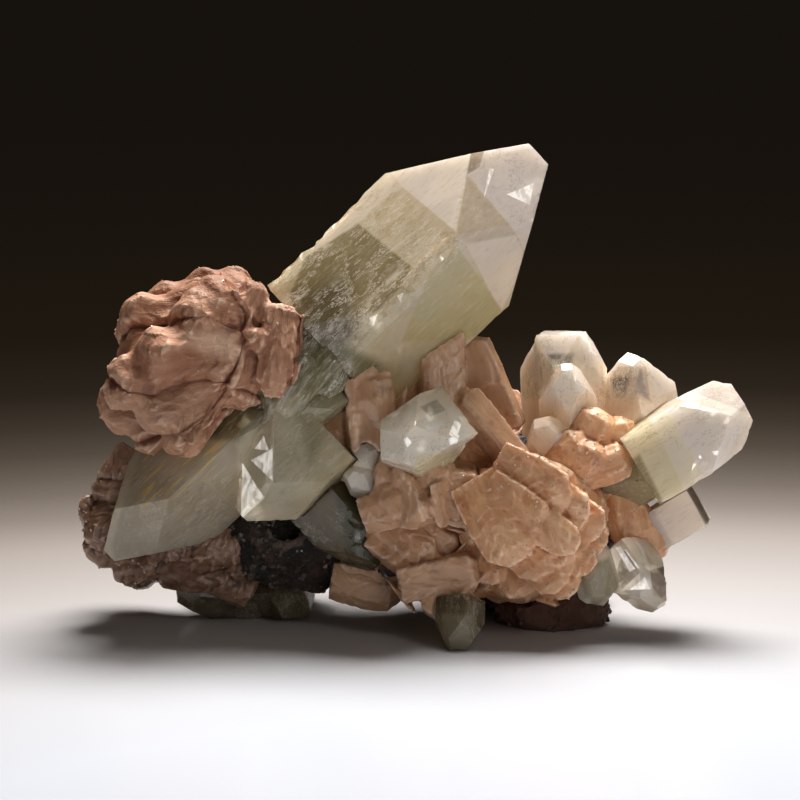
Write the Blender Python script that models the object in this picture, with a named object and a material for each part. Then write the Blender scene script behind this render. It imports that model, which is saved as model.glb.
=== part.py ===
"""Apophyllite cluster: green apophyllite crystals and peach stilbite on dark basalt.

The specimen is laid out as it is seen from the front, from VIEW_RISE above level. A place is
(across, up, toward) in millimetres on that view: across to the right, up the view, and toward the viewer,
from a point MIDDLE_HEIGHT above the surface that the specimen rests on. A heading is the direction in
the view, in degrees from straight right, and a lean is how far it turns towards the viewer.
"""

import math

import bmesh
import bpy
from mathutils import Matrix, Vector, noise

MM = 0.001
SEAM = 0.3
VIEW_RISE = math.radians(10)
VIEW_DISTANCE = 800
MIDDLE_HEIGHT = 41.6
RIGHT = Vector((1, 0, 0))
UP = Vector((0, math.sin(VIEW_RISE), math.cos(VIEW_RISE)))
TOWARD = Vector((0, -math.cos(VIEW_RISE), math.sin(VIEW_RISE)))

# Apophyllite is tetragonal. Its steep pyramid faces stand over the prism's corners.
PYRAMID_LEAN = math.radians(31.5)
CORNERS = [math.radians(a) for a in (45, 135, 225, 315)]

# The large crystal, and the two that grew parallel to it and point the other way.
MAIN_HEADING = 43
MAIN_SIDE = 23.1
MAIN_LENGTH = 52
PARALLEL_HEADING = MAIN_HEADING + 180
SECOND_SIDE = 16
SECOND_LENGTH = 22
THIRD_SIDE = 15.4
THIRD_LENGTH = 54

# The other crystals' widths across their prisms.
CENTER_SIDE = 11
RIGHT_HEADING = 31
RIGHT_SIDE = 13.4
RIGHT_LENGTH = 22.4
UPPER_RIGHT_SIDE = 11.4
BOTTOM_SIDE = 6.4

# The stilbite sheaves, from root to rim.
LEFT_SHEAF_LENGTH = 20.5
FAN_LENGTH = 17
BACK_SHEAF_LENGTH = 17

MATERIALS = {
    "apophyllite": ((0.62, 0.68, 0.50, 1), 0.08, 0.8),
    "stilbite": ((0.56, 0.28, 0.15, 1), 0.55, 0),
    "basalt": ((0.030, 0.020, 0.016, 1), 0.9, 0),
}


def spot(across, up, toward):
    """The point seen at (across, up) on the view, this far towards the viewer."""
    nearer = 1 - toward / VIEW_DISTANCE
    return Vector((0, 0, MIDDLE_HEIGHT)) + (RIGHT * across + UP * up) * nearer + TOWARD * toward


def placed(place, heading, lean, roll):
    """The frame whose +Z follows the heading and whose +Y is turned to the viewer, then rolled about +Z."""
    heading, lean = math.radians(heading), math.radians(lean)
    flat = RIGHT * math.cos(heading) + UP * math.sin(heading)
    along = flat * math.cos(lean) + TOWARD * math.sin(lean)
    facing = TOWARD * math.cos(lean) - flat * math.sin(lean)
    side = facing.cross(along)
    turn = Matrix((side, facing, along)).transposed().to_4x4()
    return Matrix.Translation(spot(*place)) @ turn @ Matrix.Rotation(math.radians(roll), 4, "Z")


def cleaved(half, middle, cuts, frame, grow):
    """A closed body: a box of these half sizes, cut down by planes, each (outward normal, distance)."""
    bm = bmesh.new()
    bmesh.ops.create_cube(bm, size=2)
    bmesh.ops.scale(bm, verts=bm.verts, vec=[h + grow for h in half])
    bmesh.ops.translate(bm, verts=bm.verts, vec=middle)
    for normal, distance in cuts:
        normal = Vector(normal).normalized()
        sliced = bmesh.ops.bisect_plane(
            bm,
            geom=bm.verts[:] + bm.edges[:] + bm.faces[:],
            plane_co=normal * (distance + grow),
            plane_no=normal,
            clear_outer=True,
        )
        rim = [e for e in sliced["geom_cut"] if isinstance(e, bmesh.types.BMEdge)]
        if rim:
            bmesh.ops.edgeloop_fill(bm, edges=rim)
    bmesh.ops.recalc_face_normals(bm, faces=bm.faces)
    bm.transform(frame)
    return bm


def leaning(around, lean):
    """A plane's outward normal: this far around the long axis, its face leaning this far from the axis."""
    return (math.cos(around) * math.cos(lean), math.sin(around) * math.cos(lean), math.sin(lean))


def crystal(tip, heading, side, length, lean=0, roll=45, point=1.5, points=None, chips=(), grow=0):
    """An apophyllite prism with its flat tip at a place. point is how far above the tip its pyramid would
    have ended, and points gives each of the four faces its own. A chip is (degrees around, lean in degrees,
    distance from the tip's centre)."""
    cuts = [
        (leaning(around, PYRAMID_LEAN), far * math.sin(PYRAMID_LEAN))
        for around, far in zip(CORNERS, points or [point] * 4)
    ]
    cuts += [(leaning(math.radians(a), math.radians(b)), far) for a, b, far in chips]
    half = (side / 2, side / 2, length / 2)
    return cleaved(half, (0, 0, -length / 2), cuts, placed(tip, heading, lean, roll), grow)


def blade(root, heading, width, thick, length, lean=0, roll=0, blunt=50, taper=0.7, behind=0, turn=None,
          grow=0):
    """A stilbite tablet from its root: narrower there, with a chisel end blunted to this angle."""
    blunt = math.radians(blunt)
    reach = length * math.sin(blunt)
    narrowing = math.atan2(width * (1 - taper) / 2, length)
    cuts = []
    for side in (1, -1):
        cuts.append(((side * math.cos(blunt), 0, math.sin(blunt)), reach + width * 0.22 * math.cos(blunt)))
        cuts.append(((0, side * math.cos(blunt), math.sin(blunt)), reach + thick * 0.32 * math.cos(blunt)))
        cuts.append(((side * math.cos(narrowing), 0, -math.sin(narrowing)), width * taper / 2))
    frame = placed(root, heading, lean, roll)
    if turn:
        frame = frame @ turn
    half = (width / 2, thick / 2, (length + behind) / 2)
    return cleaved(half, (0, 0, (length - behind) / 2), cuts, frame, grow)


def sheaf(root, heading, length, lean=0, roll=0, rows=5, columns=3, through=80, across=60, width=9,
          thick=6, slant=0, uneven=0.12, seed=0, grow=0):
    """Blades that fan out from one root: rows of them through the sheaf, and columns across it. slant is
    how much longer the last column is than the first, as a share of the length."""
    blades = []
    for row in range(rows):
        for column in range(columns):
            high = (row + 0.5) / rows - 0.5
            wide = (column + 0.5 * (row % 2) + 0.25) / columns - 0.5
            ragged = noise.noise(Vector((row * 1.7, column * 2.3, seed + 0.5)))
            turn = Matrix.Rotation(math.radians(across * wide), 4, "Y")
            turn = Matrix.Rotation(math.radians(through * high + 9 * ragged), 4, "X") @ turn
            turn = turn @ Matrix.Rotation(math.radians(40 * ragged), 4, "Z")
            far = length * (1 + uneven * 2 * ragged + slant * wide)
            behind = 1.5 + 0.13 * len(blades)
            blades.append(blade(root, heading, width, thick, far, lean, roll, taper=0.45, behind=behind,
                                turn=turn, grow=grow))
    return blades


def lump(place, radii, turned=0, rough=0.12, detail=2, seed=0, grow=0):
    """A rough rounded mass of these radii (across, up, toward), turned in the view."""
    bm = bmesh.new()
    bmesh.ops.create_icosphere(bm, subdivisions=detail, radius=1)
    for vert in bm.verts:
        coarse = noise.noise(vert.co * 1.3 + Vector((seed, 0, 0)))
        fine = noise.noise(vert.co * 3.7 + Vector((0, seed, 0)))
        vert.co *= 1 + rough * (coarse + 0.8 * fine) * 2
    bmesh.ops.scale(bm, verts=bm.verts, vec=[radii[1] + grow, radii[2] + grow, radii[0] + grow])
    bm.transform(placed(place, turned, 0, 0))
    return bm


def main_apophyllite(grow):
    """The large crystal and the two that grew parallel to it, pointing the other way."""
    worn_foot = ((45, -30, 35), (225, -35, 37), (135, -25, 34))
    return [
        crystal((24.9, 44.2, 0), MAIN_HEADING, MAIN_SIDE, MAIN_LENGTH, point=4.2, chips=worn_foot,
                grow=grow),
        crystal((-29, -20.3, 2.5), PARALLEL_HEADING, SECOND_SIDE, SECOND_LENGTH, roll=8,
                points=(2.6, 1.2, 1.2, 2.6), grow=grow),
        crystal((-52.3, -28, -3.5), PARALLEL_HEADING, THIRD_SIDE, THIRD_LENGTH, point=2.3, grow=grow),
        crystal((-18.6, -3.6, 8.2), 215, 6.4, 9, lean=14, roll=14, grow=grow),
    ]


def center_apophyllite(grow):
    """The clear crystal at the front that points at the viewer, and its neighbour behind."""
    return [
        crystal((-1.4, -8.4, 18), 200, CENTER_SIDE, 15, lean=50, roll=22, point=4.4, grow=grow),
        crystal((10.0, -4.6, 9), 40, 8.6, 11, lean=30, roll=20, point=3, grow=grow),
    ]


def upper_right_apophyllite(grow):
    """The crystals with broken and with pointed tips above the fan."""
    return [
        crystal((29.2, 12.2, -5), 92, UPPER_RIGHT_SIDE, 19, lean=6, roll=32, point=6.5,
                chips=((200, 38, 2.6),), grow=grow),
        crystal((30.0, 6.0, 4), 93, 7.4, 12, lean=36, roll=45, point=1.6, grow=grow),
        crystal((41.4, 7.4, -3), 96, 16, 14, lean=34, roll=6, point=2.6, chips=((270, -50, 12),), grow=grow),
        crystal((25.5, -4.0, 5), 110, 7.2, 11, lean=34, roll=30, point=2.4, grow=grow),
    ]


def right_apophyllite(grow):
    """The large crystal at the right with its parallel growths below."""
    return [
        crystal((61.9, -0.9, 1), RIGHT_HEADING, RIGHT_SIDE, RIGHT_LENGTH, roll=6,
                points=(5.2, 3.8, 3.8, 5.2), grow=grow),
        crystal((36.6, -16.4, -2), RIGHT_HEADING + 180, 11.5, 19, lean=-8, roll=12, point=2.6, grow=grow),
    ]


def right_block_apophyllite(grow):
    """The blunt crystal below the right one, which points the same way."""
    return [crystal((53.8, -18.7, -3), RIGHT_HEADING, 7.4, 14, lean=12, roll=4, point=9, grow=grow)]


def lower_right_apophyllite(grow):
    """The two glassy crystals that hang at the lower right."""
    return [
        crystal((46.8, -37.2, 3), 306, 8.2, 13, lean=16, roll=30, point=2.2, grow=grow),
        crystal((35.8, -36.0, 6.5), 276, 7.4, 9, lean=34, roll=20, point=2.8, grow=grow),
    ]


def bottom_apophyllite(grow):
    """The small crystal that the front rests on."""
    return [crystal((10.4, -45.2, 11.5), 266, BOTTOM_SIDE, 9.5, lean=16, roll=36, point=2.2, grow=grow)]


def lower_left_apophyllite(grow):
    """The shaded crystals that the left end rests on."""
    return [
        crystal((-40.2, -35.2, -13), 184, 7.6, 18, roll=40, point=1.8, grow=grow),
        crystal((-20.0, -39.4, -12), 271, 8.6, 16, lean=4, roll=20, point=3.6, grow=grow),
        crystal((-28.5, -39.6, -14), 250, 6.6, 12, lean=-4, roll=30, point=2.6, grow=grow),
    ]


def inner_apophyllite(grow):
    """The shaded green crystal between the large crystals and the stilbite blocks."""
    return [crystal((-3.2, -29.2, 1), 312, 10.6, 22, lean=8, roll=28, point=2.6, grow=grow)]


def small_apophyllite(grow):
    """The two small clear crystals at the left of the front crystal."""
    return [
        crystal((-9.4, -13.0, 8.5), 150, 5.0, 9, lean=44, roll=30, grow=grow),
        crystal((-5.4, -8.4, 8.0), 60, 4.6, 8, lean=40, roll=16, grow=grow),
    ]


def back_apophyllite(grow):
    """Two crystals on the side away from the viewer."""
    return [
        crystal((-16, 2, -31), 150, 11, 20, lean=-40, roll=30, point=2.4, grow=grow),
        crystal((-6, 1, -33), 96, 8, 16, lean=-50, roll=10, point=2, grow=grow),
    ]


def left_stilbite(grow):
    """The large sheaf at the upper left: an upper mass, a lower lobe and a folded flap in front."""
    upper = sheaf((-26.5, 9.5, 3), 150, LEFT_SHEAF_LENGTH, rows=4, columns=4, through=110, across=84,
                  width=10, thick=8, slant=0.8, seed=1, grow=grow)
    lower = sheaf((-30.5, 3.5, 3), 207, LEFT_SHEAF_LENGTH, rows=3, columns=3, through=100, across=54,
                  width=9, thick=8, slant=-0.4, seed=2, grow=grow)
    flap = [
        blade((-28, 17, 9), 256, 7, 6, 16, roll=20, lean=8, blunt=62, taper=0.9, grow=grow),
        blade((-21.5, 17, 8), 268, 7, 6, 14.5, roll=-10, lean=10, blunt=62, taper=0.9, grow=grow),
        blade((-20.5, 15, 6), 288, 5, 5, 9.5, roll=10, lean=6, grow=grow),
    ]
    return [lump((-36.5, 9, 4), (14.5, 12, 11), turned=-15, seed=4, grow=grow)] + upper + lower + flap


def right_stilbite(grow):
    """The large bright fan of stacked, curved plates."""
    fan = sheaf((23.6, -19.8, -4), 266, FAN_LENGTH, lean=48, rows=6, columns=3, through=150, across=92,
                width=11, thick=6, seed=5, grow=grow)
    return fan + [lump((25, -20, -1), (12, 11, 10), seed=6, grow=grow)]


def right_stilbite_lumps(grow):
    """The rounded lumps between the fan and the upper right crystals."""
    return [
        lump((31.5, -8, 5), (5, 7.5, 6), turned=30, seed=7, detail=2, grow=grow),
        blade((30, -15, 2), 50, 8, 8, 12, lean=20, roll=20, grow=grow),
        blade((34, -13, 4), 20, 6, 6, 10, lean=10, roll=30, grow=grow),
        blade((43, -16, -4), 282, 6, 6, 13, roll=20, grow=grow),
        lump((37, -9, -9), (9, 8, 7), turned=20, seed=17, grow=grow),
    ]


def upper_center_stilbite(grow):
    """The upright tablet, the reddish slab behind it and the ridge that runs down to the fan."""
    return [
        blade((7.6, -8, 1), 91, 8.4, 6, 23, roll=10, blunt=58, taper=0.9, grow=grow),
        blade((18.5, -6, -3), 113, 9, 5, 18, roll=-12, blunt=62, taper=1, grow=grow),
        blade((22.5, -13, 4), 129, 5, 5, 18, lean=-6, roll=35, taper=0.9, grow=grow),
        blade((0.5, -1, -1), 100, 7.6, 5, 11.5, roll=-15, taper=0.9, grow=grow),
    ]


def neck_stilbite(grow):
    """The pale block between the large crystals and the clear front one."""
    return [
        blade((-5.6, -9.5, 4), 94, 8.8, 9, 15.5, roll=10, blunt=60, taper=0.9, grow=grow),
        blade((-2.4, -6, -2), 80, 8, 8, 11, roll=-20, blunt=60, taper=0.9, grow=grow),
    ]


def center_stilbite(grow):
    """The blocks around the clear front crystal."""
    return [
        blade((-5, -14.5, 2), 352, 10.5, 12, 19.5, roll=12, blunt=66, taper=0.85, grow=grow),
        blade((-3, -21, 0), 338, 6, 8, 15, lean=8, roll=18, taper=0.9, grow=grow),
        blade((0, -13, 6), 300, 8, 8, 11, lean=20, roll=40, taper=0.9, grow=grow),
        blade((4, -12, -4), 80, 8, 8, 11, roll=15, grow=grow),
    ]


def lower_center_stilbite(grow):
    """The blocks below, down to the crystal that the front rests on."""
    return [
        blade((-5, -24, 2), 331, 7.4, 7, 13, lean=10, roll=-10, taper=0.9, grow=grow),
        blade((0, -33, 5), 12, 6.4, 7, 14.5, lean=6, roll=8, taper=1, grow=grow),
        blade((8, -29, 4), 275, 9, 8, 11, lean=10, roll=12, blunt=44, grow=grow),
        blade((16, -30, 1), 274, 6, 6, 10, roll=-16, grow=grow),
        blade((6, -24, 1), 10, 7, 8, 9, roll=25, grow=grow),
    ]


def left_center_stilbite(grow):
    """The block under the second parallel crystal."""
    return [
        blade((-12, -17.5, -1), 205, 7.4, 8, 12.5, lean=6, roll=12, blunt=62, grow=grow),
        blade((-12, -18.5, -3), 296, 7, 7, 20, roll=16, grow=grow),
    ]


def lower_left_stilbite(grow):
    """The brown sheaf behind and below the third parallel crystal."""
    fan = sheaf((-32, -23, -13), 184, 19.5, rows=3, columns=3, through=56, across=50, width=9, thick=8,
                seed=8, grow=grow)
    tablets = [
        blade((-48, -20, -6), 193, 9, 5, 9.5, roll=20, blunt=64, taper=1, grow=grow),
        blade((-43.5, -20, -9), 126, 8, 7, 12, roll=14, blunt=60, grow=grow),
        blade((-48, -20, -8), 228, 8, 6, 11.5, roll=-14, blunt=62, grow=grow),
    ]
    return fan + tablets


def back_stilbite(grow):
    """The sheaf on the side away from the viewer."""
    return sheaf((16, -14, -20), 70, BACK_SHEAF_LENGTH, lean=-58, rows=3, columns=3, through=100,
                 across=70, width=11, thick=10, seed=9, grow=grow)


def neck_back_stilbite(grow):
    """The sheaf behind the neck, which covers the foot of the large crystal."""
    return sheaf((-9, 1, -8), 118, 15, lean=-52, rows=3, columns=3, through=100, across=90, width=10,
                 thick=9, seed=10, grow=grow)


def basalt_matrix(grow):
    """The dark rock that everything grew on, with a foot at the right and feet behind."""
    return [
        lump((16, -20, -13), (27, 15, 13), turned=-6, seed=11, grow=grow),
        lump((-16, -20.5, -11), (19, 13.5, 12), turned=4, seed=12, grow=grow),
        lump((27.3, -37.5, -9), (10.5, 7, 8.5), seed=13, rough=0.08, grow=grow),
        lump((24, -30, -24), (14, 13, 11), rough=0.17, seed=14, grow=grow),
        lump((-24, -27, -24), (12, 12, 11), rough=0.17, seed=15, grow=grow),
        lump((-4, -26, -5), (10, 8, 8), turned=-35, seed=16, grow=grow),
    ]


# Each piece is cut by the pieces named before it, so the crystals keep their flat faces.
PIECES = (
    (main_apophyllite, "apophyllite"),
    (center_apophyllite, "apophyllite"),
    (right_apophyllite, "apophyllite"),
    (upper_right_apophyllite, "apophyllite"),
    (right_block_apophyllite, "apophyllite"),
    (lower_right_apophyllite, "apophyllite"),
    (bottom_apophyllite, "apophyllite"),
    (lower_left_apophyllite, "apophyllite"),
    (inner_apophyllite, "apophyllite"),
    (small_apophyllite, "apophyllite"),
    (back_apophyllite, "apophyllite"),
    (left_stilbite, "stilbite"),
    (upper_center_stilbite, "stilbite"),
    (neck_stilbite, "stilbite"),
    (center_stilbite, "stilbite"),
    (right_stilbite, "stilbite"),
    (right_stilbite_lumps, "stilbite"),
    (lower_center_stilbite, "stilbite"),
    (left_center_stilbite, "stilbite"),
    (lower_left_stilbite, "stilbite"),
    (back_stilbite, "stilbite"),
    (neck_back_stilbite, "stilbite"),
    (basalt_matrix, "basalt"),
)


def clear_scene():
    for obj in list(bpy.data.objects):
        bpy.data.objects.remove(obj, do_unlink=True)


def new_collection(name):
    collection = bpy.data.collections.new(name)
    bpy.context.scene.collection.children.link(collection)
    return collection


def new_material(name):
    color, roughness, transmission = MATERIALS[name]
    material = bpy.data.materials.new(name)
    material.use_nodes = True
    shader = material.node_tree.nodes["Principled BSDF"]
    shader.inputs["Base Color"].default_value = color
    shader.inputs["Roughness"].default_value = roughness
    shader.inputs["Metallic"].default_value = 0
    shader.inputs["Transmission Weight"].default_value = transmission
    material.diffuse_color = color
    return material


def object_from(bm, name, collection):
    mesh = bpy.data.meshes.new(name)
    bm.to_mesh(mesh)
    bm.free()
    obj = bpy.data.objects.new(name, mesh)
    collection.objects.link(obj)
    return obj


def combine(obj, others, operation):
    """Joins the others to the object, or cuts them from it, and bakes the result into its mesh."""
    for other in others:
        modifier = obj.modifiers.new(operation, "BOOLEAN")
        modifier.operation = operation
        modifier.object = other
    graph = bpy.context.evaluated_depsgraph_get()
    mesh = bpy.data.meshes.new_from_object(obj.evaluated_get(graph))
    obj.modifiers.clear()
    obj.data = mesh


def joined(name, bodies, collection):
    first, *rest = [object_from(bm, name, collection) for bm in bodies]
    combine(first, rest, "UNION")
    for obj in rest:
        bpy.data.objects.remove(obj, do_unlink=True)
    return first


def islands(bm):
    """The mesh's separate bodies, as lists of faces."""
    left, found = set(bm.faces), []
    while left:
        body, edge_of = [], [left.pop()]
        while edge_of:
            face = edge_of.pop()
            body.append(face)
            near = {other for edge in face.edges for other in edge.link_faces} & left
            left -= near
            edge_of.extend(near)
        found.append(body)
    return found


def enclosed(faces):
    """Six times the volume inside these faces, each taken as a fan of triangles."""
    total = 0
    for face in faces:
        first, *rest = [vert.co for vert in face.verts]
        total += sum(first.dot(b.cross(c)) for b, c in zip(rest, rest[1:]))
    return total


def tidied(obj):
    """Cuts the piece off at the surface it rests on, and keeps its largest body."""
    bm = bmesh.new()
    bm.from_mesh(obj.data)
    sliced = bmesh.ops.bisect_plane(
        bm,
        geom=bm.verts[:] + bm.edges[:] + bm.faces[:],
        plane_co=(0, 0, 0),
        plane_no=(0, 0, 1),
        clear_inner=True,
    )
    rim = [e for e in sliced["geom_cut"] if isinstance(e, bmesh.types.BMEdge)]
    bmesh.ops.holes_fill(bm, edges=rim)
    bodies = sorted(islands(bm), key=enclosed)
    loose = [face for body in bodies[:-1] for face in body]
    bmesh.ops.delete(bm, geom=loose, context="FACES")
    bmesh.ops.remove_doubles(bm, verts=bm.verts, dist=0.001)
    bmesh.ops.triangulate(bm, faces=bm.faces)
    bm.to_mesh(obj.data)
    bm.free()


def boxes_meet(a, b):
    return all(
        min(v.co[axis] for v in a.data.vertices) < max(v.co[axis] for v in b.data.vertices)
        and min(v.co[axis] for v in b.data.vertices) < max(v.co[axis] for v in a.data.vertices)
        for axis in range(3)
    )


def set_on_origin(objects):
    """Moves the cluster so that the middle of its outline stands on the origin, and turns it to metres."""
    corners = [vert.co for obj in objects for vert in obj.data.vertices]
    low = Vector(map(min, zip(*corners)))
    high = Vector(map(max, zip(*corners)))
    middle = (low + high) / 2
    shift = Matrix.Translation((-middle.x, -middle.y, -low.z))
    for obj in objects:
        obj.data.transform(Matrix.Scale(MM, 4) @ shift)
    print("moved by", [round(value, 3) for value in shift.translation], "mm")


def build():
    clear_scene()
    cluster = new_collection("apophyllite_cluster")
    cutters = new_collection("cutters")
    materials = {name: new_material(name) for name in MATERIALS}
    made, grown = [], []
    for piece, material in PIECES:
        obj = joined(piece.__name__, piece(0), cluster)
        combine(obj, [cutter for cutter in grown if boxes_meet(obj, cutter)], "DIFFERENCE")
        tidied(obj)
        obj.data.materials.clear()
        obj.data.materials.append(materials[material])
        made.append(obj)
        if piece is not basalt_matrix:
            cutter = joined(piece.__name__ + "_cutter", piece(SEAM), cutters)
            cutter.hide_render = True
            cutter.display_type = "WIRE"
            grown.append(cutter)
    set_on_origin(made)


build()
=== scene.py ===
# %% [markdown]
# # An apophyllite cluster
#
# The specimen is three minerals that grew together: clear to milky apophyllite crystals, peach stilbite in
# sheaves of thin plates, and a dark basalt that carries both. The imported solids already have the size, the
# places and the flat crystal faces. This lesson turns each solid into a finished mesh, grows the repeated
# plates and grains on it with Geometry Nodes, and gives each mineral a procedural material.

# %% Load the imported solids
import math
from collections import namedtuple

import bmesh
import bpy
import numpy as np
from mathutils import Matrix, Vector, noise
from mathutils.bvhtree import BVHTree
from mathutils.kdtree import KDTree


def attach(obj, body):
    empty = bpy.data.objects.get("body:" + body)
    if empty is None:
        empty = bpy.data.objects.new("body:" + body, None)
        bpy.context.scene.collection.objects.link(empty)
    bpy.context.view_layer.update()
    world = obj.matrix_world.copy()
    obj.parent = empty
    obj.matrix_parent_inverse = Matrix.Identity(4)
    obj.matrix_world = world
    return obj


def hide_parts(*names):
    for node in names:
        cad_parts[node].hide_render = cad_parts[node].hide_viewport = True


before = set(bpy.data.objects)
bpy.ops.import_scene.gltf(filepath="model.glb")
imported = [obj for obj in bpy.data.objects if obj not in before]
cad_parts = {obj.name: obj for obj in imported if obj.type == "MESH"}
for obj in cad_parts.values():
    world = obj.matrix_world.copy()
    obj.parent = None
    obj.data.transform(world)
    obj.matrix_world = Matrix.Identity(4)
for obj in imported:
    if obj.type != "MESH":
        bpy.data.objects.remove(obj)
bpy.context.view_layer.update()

MM = 0.001

# %% [markdown]
# ## Where things are
#
# A place on the specimen is easiest to name as it is seen: so far to the right, so far up, so far towards the
# viewer. One helper turns such a place into the frame of the solids. A second gives the directions of a
# crystal or a sheaf that points along a heading, counted from the right towards up, and leans to the viewer.

# %% Helpers for places and directions
VIEW_RISE = math.radians(10)
VIEW_DISTANCE = 800 * MM
MIDDLE = Vector((-2.373, -6.834, 41.6)) * MM
RIGHT = Vector((1, 0, 0))
UP = Vector((0, math.sin(VIEW_RISE), math.cos(VIEW_RISE)))
TOWARD = Vector((0, -math.cos(VIEW_RISE), math.sin(VIEW_RISE)))


def spot(across, up, toward):
    nearer = 1 - toward * MM / VIEW_DISTANCE
    return MIDDLE + (RIGHT * across + UP * up) * nearer * MM + TOWARD * toward * MM


def pointing(heading, lean):
    heading, lean = math.radians(heading), math.radians(lean)
    return (RIGHT * math.cos(heading) + UP * math.sin(heading)) * math.cos(lean) + TOWARD * math.sin(lean)


def crystal_axes(heading, lean, roll):
    """The rows are the crystal's two side directions and its long axis."""
    along = pointing(heading, lean)
    flat = pointing(heading, 0)
    facing = TOWARD * math.cos(math.radians(lean)) - flat * math.sin(math.radians(lean))
    side = facing.cross(along)
    turn = Matrix.Rotation(math.radians(roll), 3, along)
    return np.array([turn @ side, turn @ facing, along])


print("middle of the view:", [round(v / MM, 1) for v in spot(0, 0, 0)])

# %% [markdown]
# ## The camera
#
# A long lens from 80 cm away keeps the crystals' edges nearly parallel. The camera stands 10 degrees above
# the middle of the specimen.

# %% Make the camera
camera = bpy.data.objects.new("camera", bpy.data.cameras.new("camera"))
bpy.context.scene.collection.objects.link(camera)
camera.data.lens = 200
camera.data.sensor_width = 36
camera.location = MIDDLE + TOWARD * VIEW_DISTANCE
camera.rotation_euler = (-TOWARD).to_track_quat("-Z", "Y").to_euler()
camera.data.clip_end = 20
bpy.context.scene.camera = camera
print("camera at", [round(v, 3) for v in camera.location])

# %% [markdown]
# ## Building materials in code
#
# Every material below is a small tree of nodes. One helper adds a node, sets it and wires it, so that a tree
# reads like a formula. An input is a plain value or another node's output, and inputs that share one name are
# given by number.

# %% Helpers for node trees
def put(tree, kind, settings=None, inputs=None):
    node = tree.nodes.new(kind)
    for name, value in (settings or {}).items():
        setattr(node, name, value)
    for name, value in (inputs or {}).items():
        if isinstance(value, bpy.types.NodeSocket):
            tree.links.new(value, node.inputs[name])
        else:
            node.inputs[name].default_value = value
    return node


def math_of(tree, operation, a, b=0.0, c=0.0, clamp=False):
    settings = {"operation": operation, "use_clamp": clamp}
    return put(tree, "ShaderNodeMath", settings, {0: a, 1: b, 2: c}).outputs[0]


def vector_of(tree, operation, a, b, c=(0.0, 0.0, 0.0)):
    return put(tree, "ShaderNodeVectorMath", {"operation": operation}, {0: a, 1: b, 2: c}).outputs[0]


def scaled(tree, vector, factors):
    return vector_of(tree, "MULTIPLY", vector, factors)


def added(tree, a, b):
    return vector_of(tree, "ADD", a, b)


def mottle(tree, vector, scale, detail=3.0, roughness=0.55):
    inputs = {"Vector": vector, "Scale": scale, "Detail": detail, "Roughness": roughness}
    return put(tree, "ShaderNodeTexNoise", None, inputs).outputs["Fac"]


def between(tree, value, low, high, to_low=0.0, to_high=1.0, smooth=True):
    """A value from low to high, mapped to the range from to_low to to_high and held at its ends."""
    settings = {"interpolation_type": "SMOOTHSTEP" if smooth else "LINEAR"}
    inputs = {0: value, 1: low, 2: high, 3: to_low, 4: to_high}
    return put(tree, "ShaderNodeMapRange", settings, inputs).outputs[0]


def blended(tree, factor, a, b):
    return put(tree, "ShaderNodeMix", {"data_type": "RGBA"}, {0: factor, 6: a, 7: b}).outputs[2]


def attribute(tree, name, output="Vector"):
    return put(tree, "ShaderNodeAttribute", {"attribute_name": name}).outputs[output]


print("node helpers ready")

# %% Helpers for node groups and materials
FLOAT, VECTOR = "NodeSocketFloat", "NodeSocketVector"


def new_group(name, inputs, outputs):
    tree = bpy.data.node_groups.new(name, "ShaderNodeTree")
    for label, kind, value in inputs:
        socket = tree.interface.new_socket(label, in_out="INPUT", socket_type=kind)
        if value is not None:
            socket.default_value = value
    for label, kind in outputs:
        tree.interface.new_socket(label, in_out="OUTPUT", socket_type=kind)
    return tree, put(tree, "NodeGroupInput").outputs, put(tree, "NodeGroupOutput").inputs


def placed_group(tree, group, inputs):
    return put(tree, "ShaderNodeGroup", {"node_tree": group}, inputs).outputs


def new_material(name):
    """A material with its Principled shader, and the object's own coordinates in millimetres."""
    material = bpy.data.materials.new(name)
    material.use_nodes = True
    tree = material.node_tree
    shader = tree.nodes["Principled BSDF"]
    shader.subsurface_method = "BURLEY"
    place = put(tree, "ShaderNodeTexCoord").outputs["Object"]
    return material, tree, shader, scaled(tree, place, (1 / MM,) * 3)


print("group and material helpers ready")

# %% [markdown]
# ## Patches that run straight in
#
# Much of what is seen on this specimen has straight edges: the painted reflections of faces inside a crystal,
# painted shade in a dark gap, a reddish stretch of a sheaf that is partly painted shade. Each is a polygon,
# named by its corners across and up, and its mask is worked out by the shader: a point is inside when it is
# on the inner side of every edge, so a corner that turns inwards cuts its patch back. Three edges are
# measured at once in the three parts of a vector, which keeps the nodes few and the render quick. The mask
# doesn't change along the line of sight, so it lies at the same place on a surface and deep in the glass.

# %% Helpers for patches
def seen_axes(tree, place):
    """How far across and how far up, each three times over in one vector; made once in each tree."""
    axes = []
    for label, axis in (("seen_across", RIGHT), ("seen_up", UP)):
        if label not in tree.nodes:
            dot = put(tree, "ShaderNodeVectorMath", {"operation": "DOT_PRODUCT"}, {0: place, 1: axis})
            reach = dot.outputs["Value"]
            put(tree, "ShaderNodeCombineXYZ", {"name": label}, {0: reach, 1: reach, 2: reach})
        axes.append(tree.nodes[label].outputs[0])
    return axes


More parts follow.
